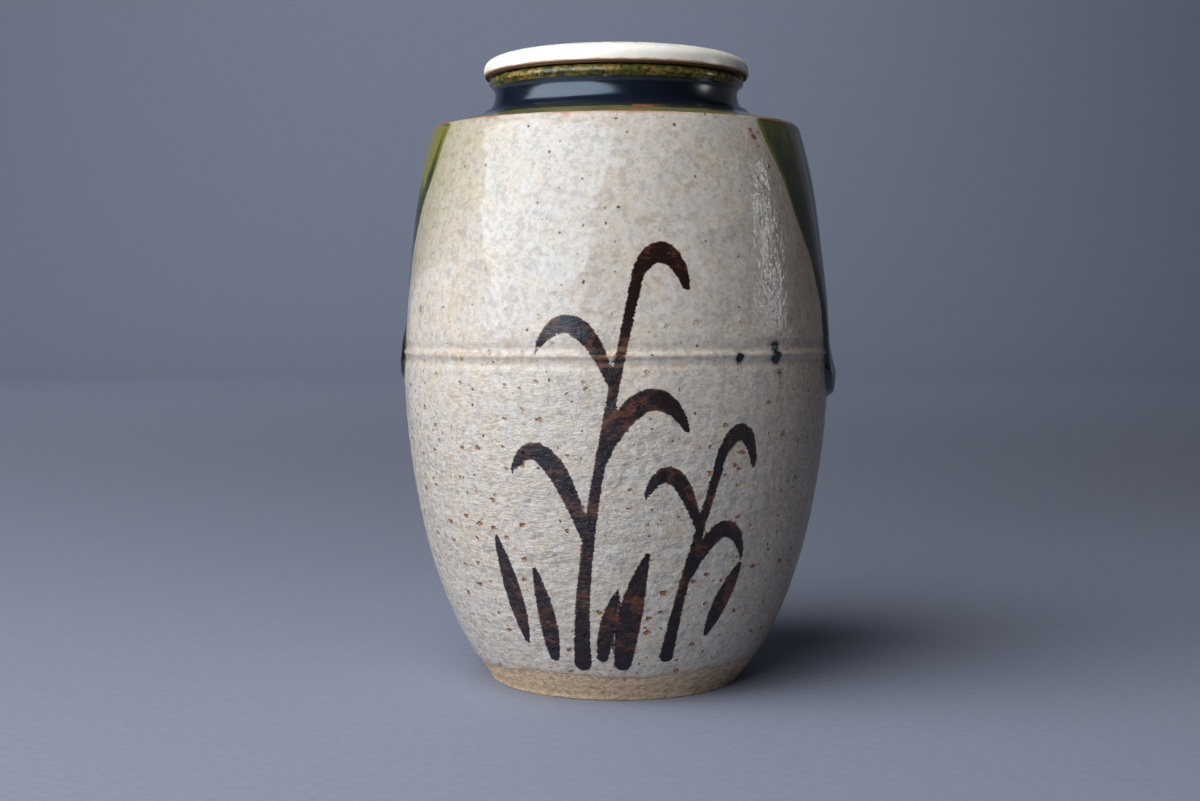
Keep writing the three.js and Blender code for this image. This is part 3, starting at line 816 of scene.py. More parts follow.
def brush_values(jar, points):
    """How far inside a brush stroke each point is, in millimetres, and how thick the pigment lies."""
    inside = np.full(len(points), OUTSIDE)
    pooled = np.zeros(len(points))
    for places, widths in REED_STROKES:
        route = stroke_path(places)
        heights = route[:, 1] * MM
        path = placed(wall_radius(jar, heights), route[:, 0], heights)
        half = np.polyval(np.polyfit((0, 0.5, 1), widths, 2), np.linspace(0, 1, len(path))) * MM / 2
        middle = path.mean(0)
        reach = np.linalg.norm(path - middle, axis=1).max() + STROKE_MARGIN
        near = np.linalg.norm(points - middle, axis=1) < reach
        best, place = stroke_values(path, half, points[near])
        ends = np.maximum(1 - smooth(place, *STROKE_START), smooth(place, *STROKE_END))
        deeper = best > inside[near]
        inside[near] = np.where(deeper, best, inside[near])
        pooled[near] = np.where(deeper, ends, pooled[near])
    return inside, pooled


def spot_values(jar, points, spots):
    """How far inside the nearest of some round spots each point is, in millimetres."""
    inside = np.full(len(points), OUTSIDE)
    for angle, height, radius in spots:
        centre = placed(wall_radius(jar, height * MM), angle, height * MM)
        inside = np.maximum(inside, radius - np.linalg.norm(points - centre, axis=1) / MM)
    return inside


class Finish:
    """The node tree of one material, built from its coordinates to its shader."""

    # A Mix node's sockets for its share, its two colours and its result
    MIX_SHARE, MIX_FIRST, MIX_SECOND, MIX_RESULT = 0, 6, 7, 2

    def __init__(self, name):
        self.material = bpy.data.materials.new(name)
        self.material.use_nodes = True
        self.tree = self.material.node_tree
        self.shader = self.tree.nodes["Principled BSDF"]
        self.place = self.node("ShaderNodeTexCoord", {}).outputs["Object"]
        parts = self.node("ShaderNodeSeparateXYZ", {0: self.place})
        self.across = parts.outputs["X"]
        self.height = parts.outputs["Z"]

    def fill(self, socket, value):
        """Links a socket to the output of another node, or gives it a plain value."""
        if isinstance(value, bpy.types.NodeSocket):
            self.tree.links.new(value, socket)
        else:
            socket.default_value = value

    def node(self, kind, inputs, **settings):
        """A node with its settings. Inputs are values or the outputs of other nodes."""
        made = self.tree.nodes.new(kind)
        for name, value in settings.items():
            setattr(made, name, value)
        for name, value in inputs.items():
            self.fill(made.inputs[name], value)
        return made

    def value(self, name):
        """A value kept at the vertices."""
        return self.node("ShaderNodeAttribute", {}, attribute_name=name).outputs["Fac"]

    def math(self, operation, first, second=0.0):
        """The result of one operation on plain values."""
        return self.node("ShaderNodeMath", {0: first, 1: second}, operation=operation).outputs[0]

    def vectors(self, operation, *inputs, output="Vector"):
        """The result of one operation on vectors."""
        made = self.node("ShaderNodeVectorMath", dict(enumerate(inputs)), operation=operation)
        return made.outputs[output]

    def times(self, first, *others):
        """The product of all values."""
        for value in others:
            first = self.math("MULTIPLY", first, value)
        return first

    def plus(self, first, *others):
        """The sum of all values."""
        for value in others:
            first = self.math("ADD", first, value)
        return first

    def less(self, first, second):
        """The first value less the second."""
        return self.math("SUBTRACT", first, second)

    def centred(self, value):
        """A value that is 0 where the noise is at its middle."""
        return self.less(value, 0.5)

    def away(self, value, middle):
        """How far a value is from the middle, either way."""
        return self.math("ABSOLUTE", self.less(value, middle))

    def ramp(self, value, low, high, least=0.0, most=1.0):
        """A smooth step from least to most, as a value goes from low to high."""
        inputs = {"Value": value, "From Min": low, "From Max": high, "To Min": least, "To Max": most}
        return self.node("ShaderNodeMapRange", inputs, interpolation_type="SMOOTHSTEP").outputs[0]

    def blend(self, share, first, second):
        """Mixes two plain values."""
        return self.plus(self.times(second, share), self.times(first, self.less(1.0, share)))

    def mix(self, share, first, second):
        """Mixes two colours. A colour is a socket or three numbers."""
        inputs = {self.MIX_SHARE: share}
        for place, colour_value in ((self.MIX_FIRST, first), (self.MIX_SECOND, second)):
            is_socket = isinstance(colour_value, bpy.types.NodeSocket)
            inputs[place] = colour_value if is_socket else (*colour_value, 1.0)
        return self.node("ShaderNodeMix", inputs, data_type="RGBA").outputs[self.MIX_RESULT]

    def tinted(self, ground, tint, value, low, high, least=0.0, most=1.0):
        """The ground with a tint over it, which sets in as a value goes from low to high."""
        return self.mix(self.ramp(value, low, high, least, most), ground, tint)

    def stretched(self, across, up):
        """Coordinates stretched across or up."""
        return self.vectors("MULTIPLY", self.place, (1 / across, 1 / across, 1 / up))

    def noise(self, size, detail=3.0, rough=0.55, across=1.0, up=1.0):
        """Cloudy noise whose patches are about as large as size."""
        inputs = {"Vector": self.stretched(across, up), "Scale": 1 / size, "Detail": detail,
                  "Roughness": rough}
        return self.node("ShaderNodeTexNoise", inputs).outputs["Fac"]

    def cells(self, size, wobble, across=1.0, feature="F1"):
        """Cells of about the given size, whose borders wobble by a share of that size."""
        shift = self.node("ShaderNodeTexNoise", {"Vector": self.place, "Scale": 2 / size})
        centred = self.vectors("SUBTRACT", shift.outputs["Color"], (0.5,) * 3)
        vector = self.vectors("MULTIPLY_ADD", centred, (wobble * size,) * 3,
                              self.stretched(across, 1.0))
        inputs = {"Vector": vector, "Scale": 1 / size}
        return self.node("ShaderNodeTexVoronoi", inputs, feature=feature).outputs

    def cracks(self, size, wobble, width, core=0.0):
        """Lines between cells. Their width and their full core are shares of the size."""
        borders = self.cells(size, wobble, feature="DISTANCE_TO_EDGE")["Distance"]
        return self.ramp(borders, width, core)

    def specks(self, size, radii, share, wobble=0.3, across=1.0):
        """Small round spots in a share of the cells, with radii in cells. Gives the spots, how far
        inside a spot each place is, and which cells have a spot."""
        cells = self.cells(size, wobble, across)
        chance = self.node("ShaderNodeSeparateXYZ", {0: cells["Color"]}).outputs["X"]
        inside = self.less(self.ramp(chance, 1 - share, 1.0, *radii), cells["Distance"])
        there = self.math("GREATER_THAN", chance, 1 - share)
        return self.times(self.ramp(inside, 0.0, SPECK_SOFTNESS), there), inside, there

    def finish(self, relief, **sockets):
        """Fills the shader's sockets, with the relief, which is in millimetres, as its bump."""
        bumps = self.node("ShaderNodeBump", {"Height": relief, "Distance": MM})
        self.fill(self.shader.inputs["Normal"], bumps.outputs["Normal"])
        for name, value in sockets.items():
            self.fill(self.shader.inputs[name.replace("_", " ")], value)
        return self.material


def cream_ground(made, colours):
    """The cream glaze itself: cool and warm mottling, pale and tan grains, and broken crackle."""
    clouds = made.noise(3 * MM, detail=6.0, rough=0.7, up=1.2)
    ground = made.tinted(colours.cream, colours.warm, clouds, 0.42, 0.64)
    grains = made.noise(0.8 * MM, detail=5.0, rough=0.7)
    ground = made.tinted(ground, colours.tan, grains, 0.51, 0.62, most=0.30)
    ground = made.tinted(ground, colours.pale, grains, 0.48, 0.38, most=0.35)
    dusk = made.noise(1.2 * MM, detail=4.0, rough=0.65)
    ground = made.tinted(ground, colours.grey, dusk, 0.50, 0.62, most=0.34)
    broken = made.ramp(made.noise(0.35 * MM, detail=2.0), 0.42, 0.60, least=0.25)
    for size, most in ((2.1 * MM, 0.32), (1.0 * MM, 0.22)):
        lines = made.cracks(size, wobble=0.7, width=0.11, core=0.01)
        strength = made.ramp(made.noise(2.2 * size), 0.40, 0.62, least=0.05, most=most)
        ground = made.mix(made.times(lines, strength, broken), ground, colours.tan)
    return ground


def specks_and_pits(made, ground, colours, lowness):
    """Specks of iron in two sizes, and pits low on the wall. Also gives their relief."""
    fine, _, _ = made.specks(1.0 * MM, radii=(0.06, 0.13), share=0.4)
    ground = made.mix(made.times(fine, made.blend(lowness, 0.5, 0.6)), ground, colours.rust)

    spots, inside, there = made.specks(1.5 * MM, radii=(0.06, 0.15), share=0.6)
    halo = made.times(made.ramp(inside, -0.09, 0.02), there)
    ground = made.mix(made.times(halo, 0.3), ground, colours.tan)
    ground = made.mix(made.times(spots, 0.8), ground, colours.iron)

    _, inside, there = made.specks(1.4 * MM, radii=(0.06, 0.23), share=0.48, wobble=0.6, across=1.5)
    rim = made.times(made.ramp(inside, -0.08, 0.02), there, lowness)
    ground = made.mix(made.times(rim, 0.85), ground, colours.pit)
    # The deepest middle of each pit is darker, in the rust colour.
    deepest = made.times(made.ramp(inside, 0.07, 0.15), there, lowness)
    ground = made.mix(made.times(deepest, 0.5), ground, colours.rust)
    hollows = made.times(made.ramp(inside, -0.03, 0.10), there, lowness, -0.5)
    return ground, (hollows, made.times(fine, 0.008))


def warm_shades(made, ground, colours, jar):
    """Amber near the green, most on the left, tan on the right as painted shade, and thin glaze on
    the shelf.
    """
    leftness = made.ramp(made.across, *LEFT_SIDE, least=0.12)
    away = made.plus(made.value("green_away"), made.times(made.noise(1.4 * MM), 1.2))
    near_green = made.ramp(away, 4.0, 0.4, most=0.5)
    ground = made.mix(made.times(near_green, leftness), ground, colours.amber)
    # Tan over the right side is painted shade: that side darkens as the light falls away from it.
    ground = made.tinted(ground, colours.tan, made.across, *SHADED_RIGHT_SIDE, most=0.5)
    shelf = made.ramp(made.height, jar.shoulder_height + 0.1 * MM, jar.shoulder_height + 0.45 * MM)
    return made.mix(made.times(shelf, 0.9), ground, colours.amber)


def iron_brushwork(made, ground, colours):
    """Brushed iron under the glaze: near black, broken by fine streaks of rust, with rusty rims.
    Also gives where it lies."""
    nicks = made.centred(made.noise(0.4 * MM, detail=4.0, rough=0.65, across=3.0))
    fray = made.centred(made.noise(0.16 * MM, detail=2.0, rough=0.6))
    edge = made.plus(made.value("brush"), made.times(nicks, 0.7), made.times(fray, 0.4))
    brushed = made.ramp(edge, -0.03, 0.08)
    streaks = made.noise(0.17 * MM, rough=0.65, across=4.5)
    patches = made.noise(2.0 * MM, detail=4.0, rough=0.6, across=1.4)
    dark = made.plus(made.times(patches, 1.3), made.times(streaks, 0.8),
                     made.times(made.value("pooled"), 0.30))
    rim = made.ramp(made.value("brush"), 0.4, 0.0, most=0.15)
    pigment = made.tinted(colours.rust, colours.iron, made.less(dark, rim), 0.84, 1.04)
    return made.mix(brushed, ground, pigment), brushed


def marks_of_the_fire(made, painted, colours, jar):
    """Iron spots, the tanned turned line, splashes of green and the burnt edge of the shoulder."""
    spots = made.plus(made.value("iron_spot"), made.times(made.noise(0.4 * MM), 0.4))
    rusty = made.tinted(colours.blush, colours.rust, spots, 0.2, 0.5)
    painted = made.tinted(painted, rusty, spots, 0.1, 0.4, most=0.85)

    from_line = made.away(made.height, ridge_height(jar))
    worn = made.times(made.ramp(from_line, *LINE_FADE),
                      made.ramp(made.noise(1.6 * MM), 0.35, 0.62, most=0.4))
    from_groove = made.away(from_line, groove_aside(jar))
    grooves = made.times(made.ramp(from_groove, *LINE_FADE),
                         made.ramp(made.noise(2 * MM), 0.3, 0.6, least=0.05, most=0.22))
    painted = made.mix(made.plus(worn, grooves), painted, colours.tan)

    splashes = made.plus(made.value("splash"), made.times(made.noise(0.5 * MM), 0.4))
    painted = made.tinted(painted, colours.grey, splashes, -0.9, 0.1, most=0.3)
    painted = made.tinted(painted, colours.olive, splashes, -0.15, 0.3, most=0.5)
    painted = made.tinted(painted, colours.deep, splashes, 0.2, 0.4)

    from_edge = made.away(made.height, jar.shoulder_height + jar.shoulder_edge / 3)
    patchy = made.noise(5 * MM, detail=4.0, rough=0.65)
    burnt = made.times(made.ramp(from_edge, 0.34 * MM, 0.05 * MM),
                       made.ramp(patchy, 0.44, 0.64, least=0.05, most=0.6))
    return made.mix(burnt, painted, colours.blush)


def lip_glaze(made, painted, colours, jar):
    """Thin honey-coloured glaze on the lip, spotted with iron. Also gives where it lies."""
    waist = waist_height(jar)
    lip = made.ramp(made.height, waist - MM, waist - 0.8 * MM)
    tone = made.noise(1.5 * MM, detail=5.0, rough=0.75)
    glaze = made.tinted(colours.olive, colours.honey, tone, 0.42, 0.60)
    spots = made.ramp(made.noise(0.7 * MM, detail=4.0, rough=0.65, across=1.5), 0.52, 0.62)
    glaze = made.mix(made.times(spots, 0.85), glaze, colours.iron)
    return made.mix(lip, painted, glaze), lip


def bare_clay(made, colours):
    """Bare clay, with darker bands and rusty grog, and rust in the low dips of its grain, which is
    partly the clay's own darker grain and partly painted shade in its pores. Also gives its relief.
    """
    grain = made.noise(0.8 * MM, detail=5.0, rough=0.8)
    bands = made.noise(0.5 * MM, detail=4.0, rough=0.7, across=2.2)
    clay = made.tinted(colours.clay, colours.clay_dark, bands, 0.42, 0.58, most=0.7)
    # Rust in the grain's low dips: partly the clay's own darker grain, partly painted shade in pores
    clay = made.tinted(clay, colours.rust, grain, 0.47, 0.38, most=0.5)
    clay = made.tinted(clay, colours.clay, grain, 0.54, 0.62, most=0.5)
    grog, _, _ = made.specks(0.8 * MM, radii=(0.08, 0.2), share=0.4)
    clay = made.mix(made.times(grog, 0.45), clay, colours.rust)
    return clay, made.plus(made.times(grain, 0.7), made.times(bands, 0.25), made.times(grog, 0.06))


def string_marks(made):
    """Relief of the curved marks that the cutting string left on the base."""
    away = made.vectors("DISTANCE", made.place, STRING_CENTRE, output="Value")
    waves = made.plus(made.times(away, math.tau / STRING_PITCH), made.times(made.noise(6 * MM), 3.0))
    base = made.ramp(made.height, *BASE_FADE)
    return made.times(made.math("SINE", waves), base, 0.07)


def jar_finish(colours, jar):
    """Speckled cream glaze over stoneware, bare at the foot."""
    made = Finish("speckled_cream_glaze")
    lowness = made.ramp(made.height, *LOW_WALL)
    ground, speck_relief = specks_and_pits(made, cream_ground(made, colours), colours, lowness)
    rough = made.noise(0.6 * MM, detail=4.0, rough=0.7, across=2.5)
    ground = made.mix(made.times(made.ramp(rough, 0.47, 0.36), lowness, 0.28), ground, colours.grey)
    ground = warm_shades(made, ground, colours, jar)
    painted, brushed = iron_brushwork(made, ground, colours)
    painted = marks_of_the_fire(made, painted, colours, jar)
    painted, lip = lip_glaze(made, painted, colours, jar)

    clay, clay_relief = bare_clay(made, colours)
    wander = made.centred(made.noise(0.9 * MM, detail=4.0))
    edge = made.plus(made.value("above_clay"), made.times(wander, 1.1))
    glazed = made.ramp(edge, -0.08, 0.12)
    painted = made.tinted(painted, colours.tan, edge, 0.9, 0.0, most=0.4)

    rightness = made.ramp(made.across, *SPARKLING_SIDE)
    sparkle = made.noise(0.7 * MM, detail=2.0, rough=0.5, up=1.4)
    sway = made.plus(made.times(made.noise(7 * MM, detail=1.0, rough=0.4), 0.45),
                     made.times(made.noise(2.4 * MM, detail=1.0, rough=0.4), 0.08),
                     made.times(sparkle, made.blend(rightness, 0.01, 0.10)))
    peel = made.times(made.noise(1.7 * MM, detail=4.0), lowness, 0.40)
    ripple = made.times(rough, lowness, 0.38)
    glaze_relief = made.plus(sway, peel, ripple, *speck_relief, made.times(brushed, 0.012))
    glaze_relief = made.times(glaze_relief, made.blend(lip, 1.0, 0.15))
    shine = made.plus(made.ramp(made.noise(3 * MM), 0.3, 0.7, least=0.05, most=0.10),
                      made.times(lowness, 0.12), made.times(brushed, 0.08))
    return made.finish(
        Base_Color=made.mix(glazed, clay, painted),
        Roughness=made.blend(glazed, 0.85, shine),
        relief=made.plus(made.blend(glazed, clay_relief, glaze_relief), string_marks(made)),
        IOR=1.47, Specular_Tint=(0.55, 0.78, 1.0, 1.0))


def green_finish(colours, jar):
    """Copper-green glaze: amber where it is thin, bottle green, and near black where it is thick."""
    made = Finish("copper_green_glaze")
    streaks = made.centred(made.noise(1.6 * MM, detail=4.0, rough=0.6, up=5.0))
    clouds = made.centred(made.noise(5 * MM))
    depth = made.plus(made.value("depth"), made.times(streaks, 0.34), made.times(clouds, 0.16))
    shoulder = jar.shoulder_height
    below = made.ramp(made.height, shoulder + 0.4 * MM, shoulder - 0.4 * MM)
    drained = made.ramp(made.height, shoulder - DRAINED_HEIGHT, shoulder, most=0.21)
    depth = made.less(depth, made.times(drained, below))
    base = made.tinted(colours.amber, colours.olive, depth, -0.05, 0.04)
    base = made.tinted(base, colours.green, depth, 0.0, 0.18)
    base = made.tinted(base, colours.deep, depth, 0.16, 0.46)
    neck_foot = neck_foot_height(jar)
    neck = made.ramp(made.height, neck_foot + 0.25 * MM, neck_foot + MM)
    base = made.mix(made.times(neck, 0.9), base, colours.blue)

    from_edge = made.away(made.height, shoulder + jar.shoulder_edge * 0.55)
    worn = made.times(made.ramp(from_edge, 0.42 * MM, 0.08 * MM),
                      made.ramp(made.noise(4 * MM), 0.25, 0.55, least=0.3, most=0.95))
    base = made.mix(worn, base, made.mix(made.noise(1.5 * MM), colours.amber, colours.blush))
    burn = made.plus(made.value("blush"), made.times(made.noise(0.8 * MM), 0.3))
    base = made.mix(made.times(made.ramp(burn, 0.1, 0.6), 0.75), base, colours.blush)
    pinholes, _, _ = made.specks(1.6 * MM, radii=(0.05, 0.10), share=0.35)
    shine = made.ramp(made.noise(4 * MM, detail=2.0), 0.3, 0.7, least=0.04, most=0.10)
    sway = made.noise(3 * MM, detail=2.0, rough=0.4)
    return made.finish(
        Base_Color=made.mix(made.times(pinholes, 0.6), base, colours.olive),
        Roughness=made.plus(shine, made.times(neck, 0.12)),
        relief=made.plus(made.times(sway, 0.02), made.times(pinholes, -0.06)),
        IOR=1.7, Specular_Tint=(0.60, 0.77, 1.0, 1.0))


def ivory_finish(colours, lid):
    """Polished ivory-coloured lid: faint grain, a little yellow, with brown-red edging along its lower
    edge.
    """
    made = Finish("polished_ivory")
    grain = made.noise(2.5 * MM, rough=0.5, across=5.0)
    bands = made.node("ShaderNodeTexWave", {"Vector": made.place, "Scale": 0.33 / MM,
                                            "Distortion": 3.0, "Detail": 2.0, "Detail Scale": 1.4},
                      wave_type="BANDS", bands_direction="DIAGONAL").outputs["Fac"]
    tone = made.plus(made.times(grain, 0.5), made.times(bands, 0.1))
    base = made.tinted(colours.ivory, colours.ivory_dark, tone, 0.28, 0.42, most=0.15)
    ledge = lid_ledge(lid)
    low = made.plus(made.height, made.times(made.centred(made.noise(2.5 * MM)), 0.5 * MM))
    # Brown-red at the lid's lower edge, fading upwards.
    browned = made.ramp(low, *(ledge + rise for rise in EDGING_FADE))
    base = made.mix(made.times(browned, 0.85), base, colours.edging)
    polish = made.noise(0.25 * MM, detail=2.0)
    return made.finish(
        Base_Color=made.tinted(base, colours.ivory_dark, low,
                               *(ledge + rise for rise in YELLOW_FADE), most=0.3),
        Roughness=made.ramp(made.noise(2 * MM), 0.3, 0.7, least=0.22, most=0.34),
        relief=made.plus(made.times(grain, 0.004), made.times(polish, 0.002)),
        Subsurface_Weight=0.4, Subsurface_Radius=(1.0, 0.85, 0.65), Subsurface_Scale=0.6 * MM)


def gilt_finish(colours):
    """Gold leaf on paper, creased and a little rubbed, rubbed to paper and darkened at its outer
    edge.
    """
    made = Finish("gilt_paper")
    flat = made.vectors("MULTIPLY", made.place, (1, 1, 0))
    out = made.vectors("LENGTH", flat, output="Value")
    outer_edge = made.ramp(out, *(LINING_TOP.x - inward for inward in OUTER_EDGE_FADE))
    patches = made.ramp(made.noise(2.2 * MM, detail=5.0, rough=0.65), 0.52, 0.66)
    rubbed = made.math("MAXIMUM", patches, outer_edge)
    base = made.mix(made.times(rubbed, 0.7), colours.gold, colours.paper)
    # Darker towards the paper's outer edge, in the iron colour.
    base = made.mix(made.times(outer_edge, 0.8), base, colours.iron)
    creases = made.cracks(4.5 * MM, wobble=0.8, width=0.06)
    return made.finish(
        Base_Color=made.mix(made.times(creases, 0.4), base, colours.paper),
        Metallic=made.less(0.9, made.times(rubbed, 0.7)),
        Roughness=made.plus(0.3, made.times(rubbed, 0.35)),
        relief=made.plus(made.times(creases, 0.06), made.times(made.noise(1.1 * MM), 0.05)))


def floor_finish(stage):
    """Matt painted board, with the faint tooth of paint."""
    made = Finish("pale_board")
    tooth = made.noise(1.5 * MM, detail=4.0, rough=0.6)
    darker = [channel * 0.93 for channel in stage.floor]
    return made.finish(Base_Color=made.tinted(stage.floor, darker, tooth, 0.35, 0.65),
                       Roughness=0.7, relief=made.times(tooth, 0.05))


def use_material(piece, material):
    """Gives a piece its only material."""
    piece.data.materials.clear()
    piece.data.materials.append(material)


def shape_jar(piece, jar):
    """Gives the lathed jar its unevenness, its turned line and the step of its glaze. Gives back
    the radius, direction and height of its points, and which of them lie on the outer wall."""
    radius, angle, height = polar(points_of(piece))
    plain = wall_radius(jar, height)
    outer = (np.abs(radius - plain) < SAME_PLACE) & (height < lip_foot_height(jar))
    above = above_bare_clay(jar, angle, height)
    step = (smooth(above, *GLAZE_STEP_RISE) - 1) * jar.glaze_step * smooth(height, 0, MM)
    relief = hand_relief(jar, angle, height) + turned_line(jar, angle, height) + step
    inner = (radius < plain - jar.wall / 2) & (height > jar.floor + MM)
    inner &= height < jar.shoulder_height - 2 * jar.wall
    throwing = INNER_RING_DEPTH * finger_rings(angle, height, INNER_RING_PITCH)
    radius = radius + np.where(outer, relief, 0) + np.where(inner, throwing, 0)
    move_points(piece, placed(radius, angle, height))
    return radius, angle, height, outer


def keep_jar_values(piece, sizes, radius, angle, height, outer):
    """Keeps where the glazes, the brushwork and the marks lie, for the material."""
    jar = sizes.jar
    points = placed(radius, angle, height)
    away = -inside_green(jar, sizes.green, angle, radius, down_at(jar, height)) / MM
    inside, pooled = brush_values(jar, points)
    above = above_bare_clay(jar, angle, height) / MM
    set_values(piece, "green_away", np.where(outer, np.clip(away, OUTSIDE, FAR_AWAY), FAR_AWAY))
    set_values(piece, "brush", np.where(outer, inside, OUTSIDE))
    set_values(piece, "pooled", pooled)
    set_values(piece, "above_clay", np.where(height < SAME_PLACE, OUTSIDE, above))
    for name, spots in (("splash", GREEN_SPLASHES), ("iron_spot", IRON_SPOTS)):
        set_values(piece, name, np.where(outer, spot_values(jar, points, spots), OUTSIDE))


class TEACADDY_OT_jar(bpy.types.Operator):
    """Model the thrown and glazed jar"""

    bl_idname = "teacaddy.jar"
    bl_label = "Glazed Jar"

    def execute(self, context):
        sizes = context.scene.tea_caddy
        jar = sizes.jar
        piece = lathe("glazed_jar", jar_outline(jar), jar.columns)
        keep_jar_values(piece, sizes, *shape_jar(piece, jar))
        use_material(piece, jar_finish(sizes.colours, jar))
        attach(piece, "jar")
        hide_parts("jar_body")
        return {"FINISHED"}


def trim_coat(piece, jar, green):
    """Deletes what lies past the skirt of the coat."""
    radius, angle, height = polar(points_of(piece))
    inside = inside_green(jar, green, angle, radius, down_at(jar, height))
    bpy.ops.object.mode_set(mode="EDIT")
    bpy.ops.mesh.select_all(action="DESELECT")
    bpy.ops.object.mode_set(mode="OBJECT")
    piece.data.vertices.foreach_set("select", inside < -green.skirt)
    bpy.ops.object.mode_set(mode="EDIT")
    bpy.ops.mesh.delete(type="VERT")
    bpy.ops.object.mode_set(mode="OBJECT")


def raise_coat(piece, jar, green):
    """Lifts the coat off the plain wall, square to it, and keeps its depth and its burns."""
    radius, angle, height = polar(points_of(piece))
    down = down_at(jar, height)
    lift = green_height(jar, green, angle, radius, down)
    wall = plain_wall(jar)
    slope = np.gradient(wall[:, 0], wall[:, 1] + np.arange(len(wall)) * LEAST_RISE)
    tilt = np.arctan(np.interp(height, wall[:, 1], slope))
    tilt = np.clip(tilt, -MOST_TILT, MOST_TILT)
    radius = radius + hand_relief(jar, angle, height) + lift * np.cos(tilt)
    height = height - lift * np.sin(tilt)
    points = placed(radius, angle, height)
    move_points(piece, points)

    inside = inside_green(jar, green, angle, radius, down)
    deep = green_body(jar, green, angle, down) * (1 - np.exp(-np.clip(inside, 0, 1) / green.rim))
    thin = 1 - THIN_SHARE * thin_left_run(jar, angle, height, inside)
    set_values(piece, "depth", np.clip(deep / MM, 0, 2) * thin)
    set_values(piece, "blush", spot_values(jar, points, BLUSHES))


def face_outward(piece):
    """Flips the faces of an open wall that look towards the axis."""
    outward = sum(face.normal.x * face.center.x + face.normal.y * face.center.y
                  for face in piece.data.polygons)
    if outward < 0:
        bpy.ops.object.mode_set(mode="EDIT")
        bpy.ops.mesh.select_all(action="SELECT")
        bpy.ops.mesh.flip_normals()
        bpy.ops.object.mode_set(mode="OBJECT")


class TEACADDY_OT_green(bpy.types.Operator):
    """Model the coat of green glaze over the neck and down both sides"""

    bl_idname = "teacaddy.green"
    bl_label = "Green Glaze"

    def execute(self, context):
        sizes = context.scene.tea_caddy
        jar = sizes.jar
        green = sizes.green
        longest = max(drip["drop"] for run in RUNS for drip in run["drips"])
        lowest = ridge_height(jar) - longest - green.skirt * 2
        outline = resampled(cut_out(plain_wall(jar), lowest, lip_foot_height(jar)), COAT_SPACING)
        piece = lathe("copper_green_coat", outline[::-1], green.columns)
        trim_coat(piece, jar, green)
        raise_coat(piece, jar, green)
        face_outward(piece)
        backing = piece.modifiers.new("backing", "SOLIDIFY")
        backing.thickness = green.backing
        backing.offset = -1
        backing.use_even_offset = False
        context.view_layer.objects.active = piece
        bpy.ops.object.modifier_apply(modifier=backing.name)
        use_material(piece, green_finish(sizes.colours, jar))
        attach(piece, "jar")
        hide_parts("green_glaze")
        return {"FINISHED"}


def lid_ledge(lid):
    """The height of the lid's flat underside, round its boss."""
    return LID_TOP.z - lid.thickness - (lid.knob_height - lid.dish_depth)


def boss_radius(jar, lid):
    """The radius of the boss with its lining, which clears the mouth."""
    return jar.neck_radius - jar.neck_wall - lid.boss_clear


def lid_edge(lid, squareness=3.56, crowding=0.8, count=40):
    """The rounded edge, a superellipse from the sharp lower arris to the crest. Squareness is its
    exponent, and a crowding below 1 sets more of its points near the crest."""
    share = np.linspace(0, 1, count) ** crowding * math.pi / 2
    power = 2 / squareness
    radius = lid.radius - lid.edge_reach * (1 - np.cos(share) ** power)
    rise = (lid.thickness - lid.edge_break) * np.sin(share) ** power
    line = np.column_stack((radius, lid_ledge(lid) + lid.edge_break + rise))
    return line[radius > lid.dish_radius]


def lid_dish(lid, count=40):
    """The shallow dish, from its rim to the foot of the knob."""
    share = np.linspace(0, 1, count)
    sink = lid.dish_depth * (1 - np.cos(math.pi * share)) / 2
    return np.column_stack((between(lid.dish_radius, lid.stem_radius, share),
                            lid_ledge(lid) + lid.thickness - sink))


def lid_knob(lid, count=16):
    """The button knob: a short stem, a swelling side and a crown, each a cubic curve."""
    foot = lid_ledge(lid) + lid.thickness - lid.dish_depth
    handles = [(radius * width, foot + lid.knob_height * rise)
               for radius, shares in ((lid.stem_radius, STEM_SHARES), (lid.knob_radius, KNOB_SHARES))
               for width, rise in shares]
    return np.vstack([bezier(*handles[first:first + 4], count)[1:] for first in (0, 3, 6)])


class TEACADDY_OT_lid(bpy.types.Operator):
    """Model the turned lid"""

    bl_idname = "teacaddy.lid"
    bl_label = "Turned Lid"

    def execute(self, context):
        sizes = context.scene.tea_caddy
        lid = sizes.lid
        ledge = lid_ledge(lid)
        boss = boss_radius(sizes.jar, lid) - lid.lining - lid.glue
        underside = np.array([(0, ledge - lid.boss_depth), (boss, ledge - lid.boss_depth),
                              (boss, ledge), (lid.radius - lid.edge_break, ledge)])
        outline = np.vstack((
            resampled(underside[:2], LID_SPACING["boss foot"]),
            resampled(underside[1:3], LID_SPACING["boss side"])[1:],
            resampled(underside[2:], LID_SPACING["ledge"])[1:],
            resampled(lid_edge(lid), LID_SPACING["edge"]),
            resampled(lid_dish(lid), LID_SPACING["dish"])[1:],
            resampled(lid_knob(lid), LID_SPACING["knob"]),
        ))
        piece = lathe("turned_lid", outline, lid.columns)
        use_material(piece, ivory_finish(sizes.colours, lid))
        bpy.ops.object.shade_smooth_by_angle(angle=SHARP_ANGLE)
        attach(piece, "lid")
        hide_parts("lid")
        return {"FINISHED"}


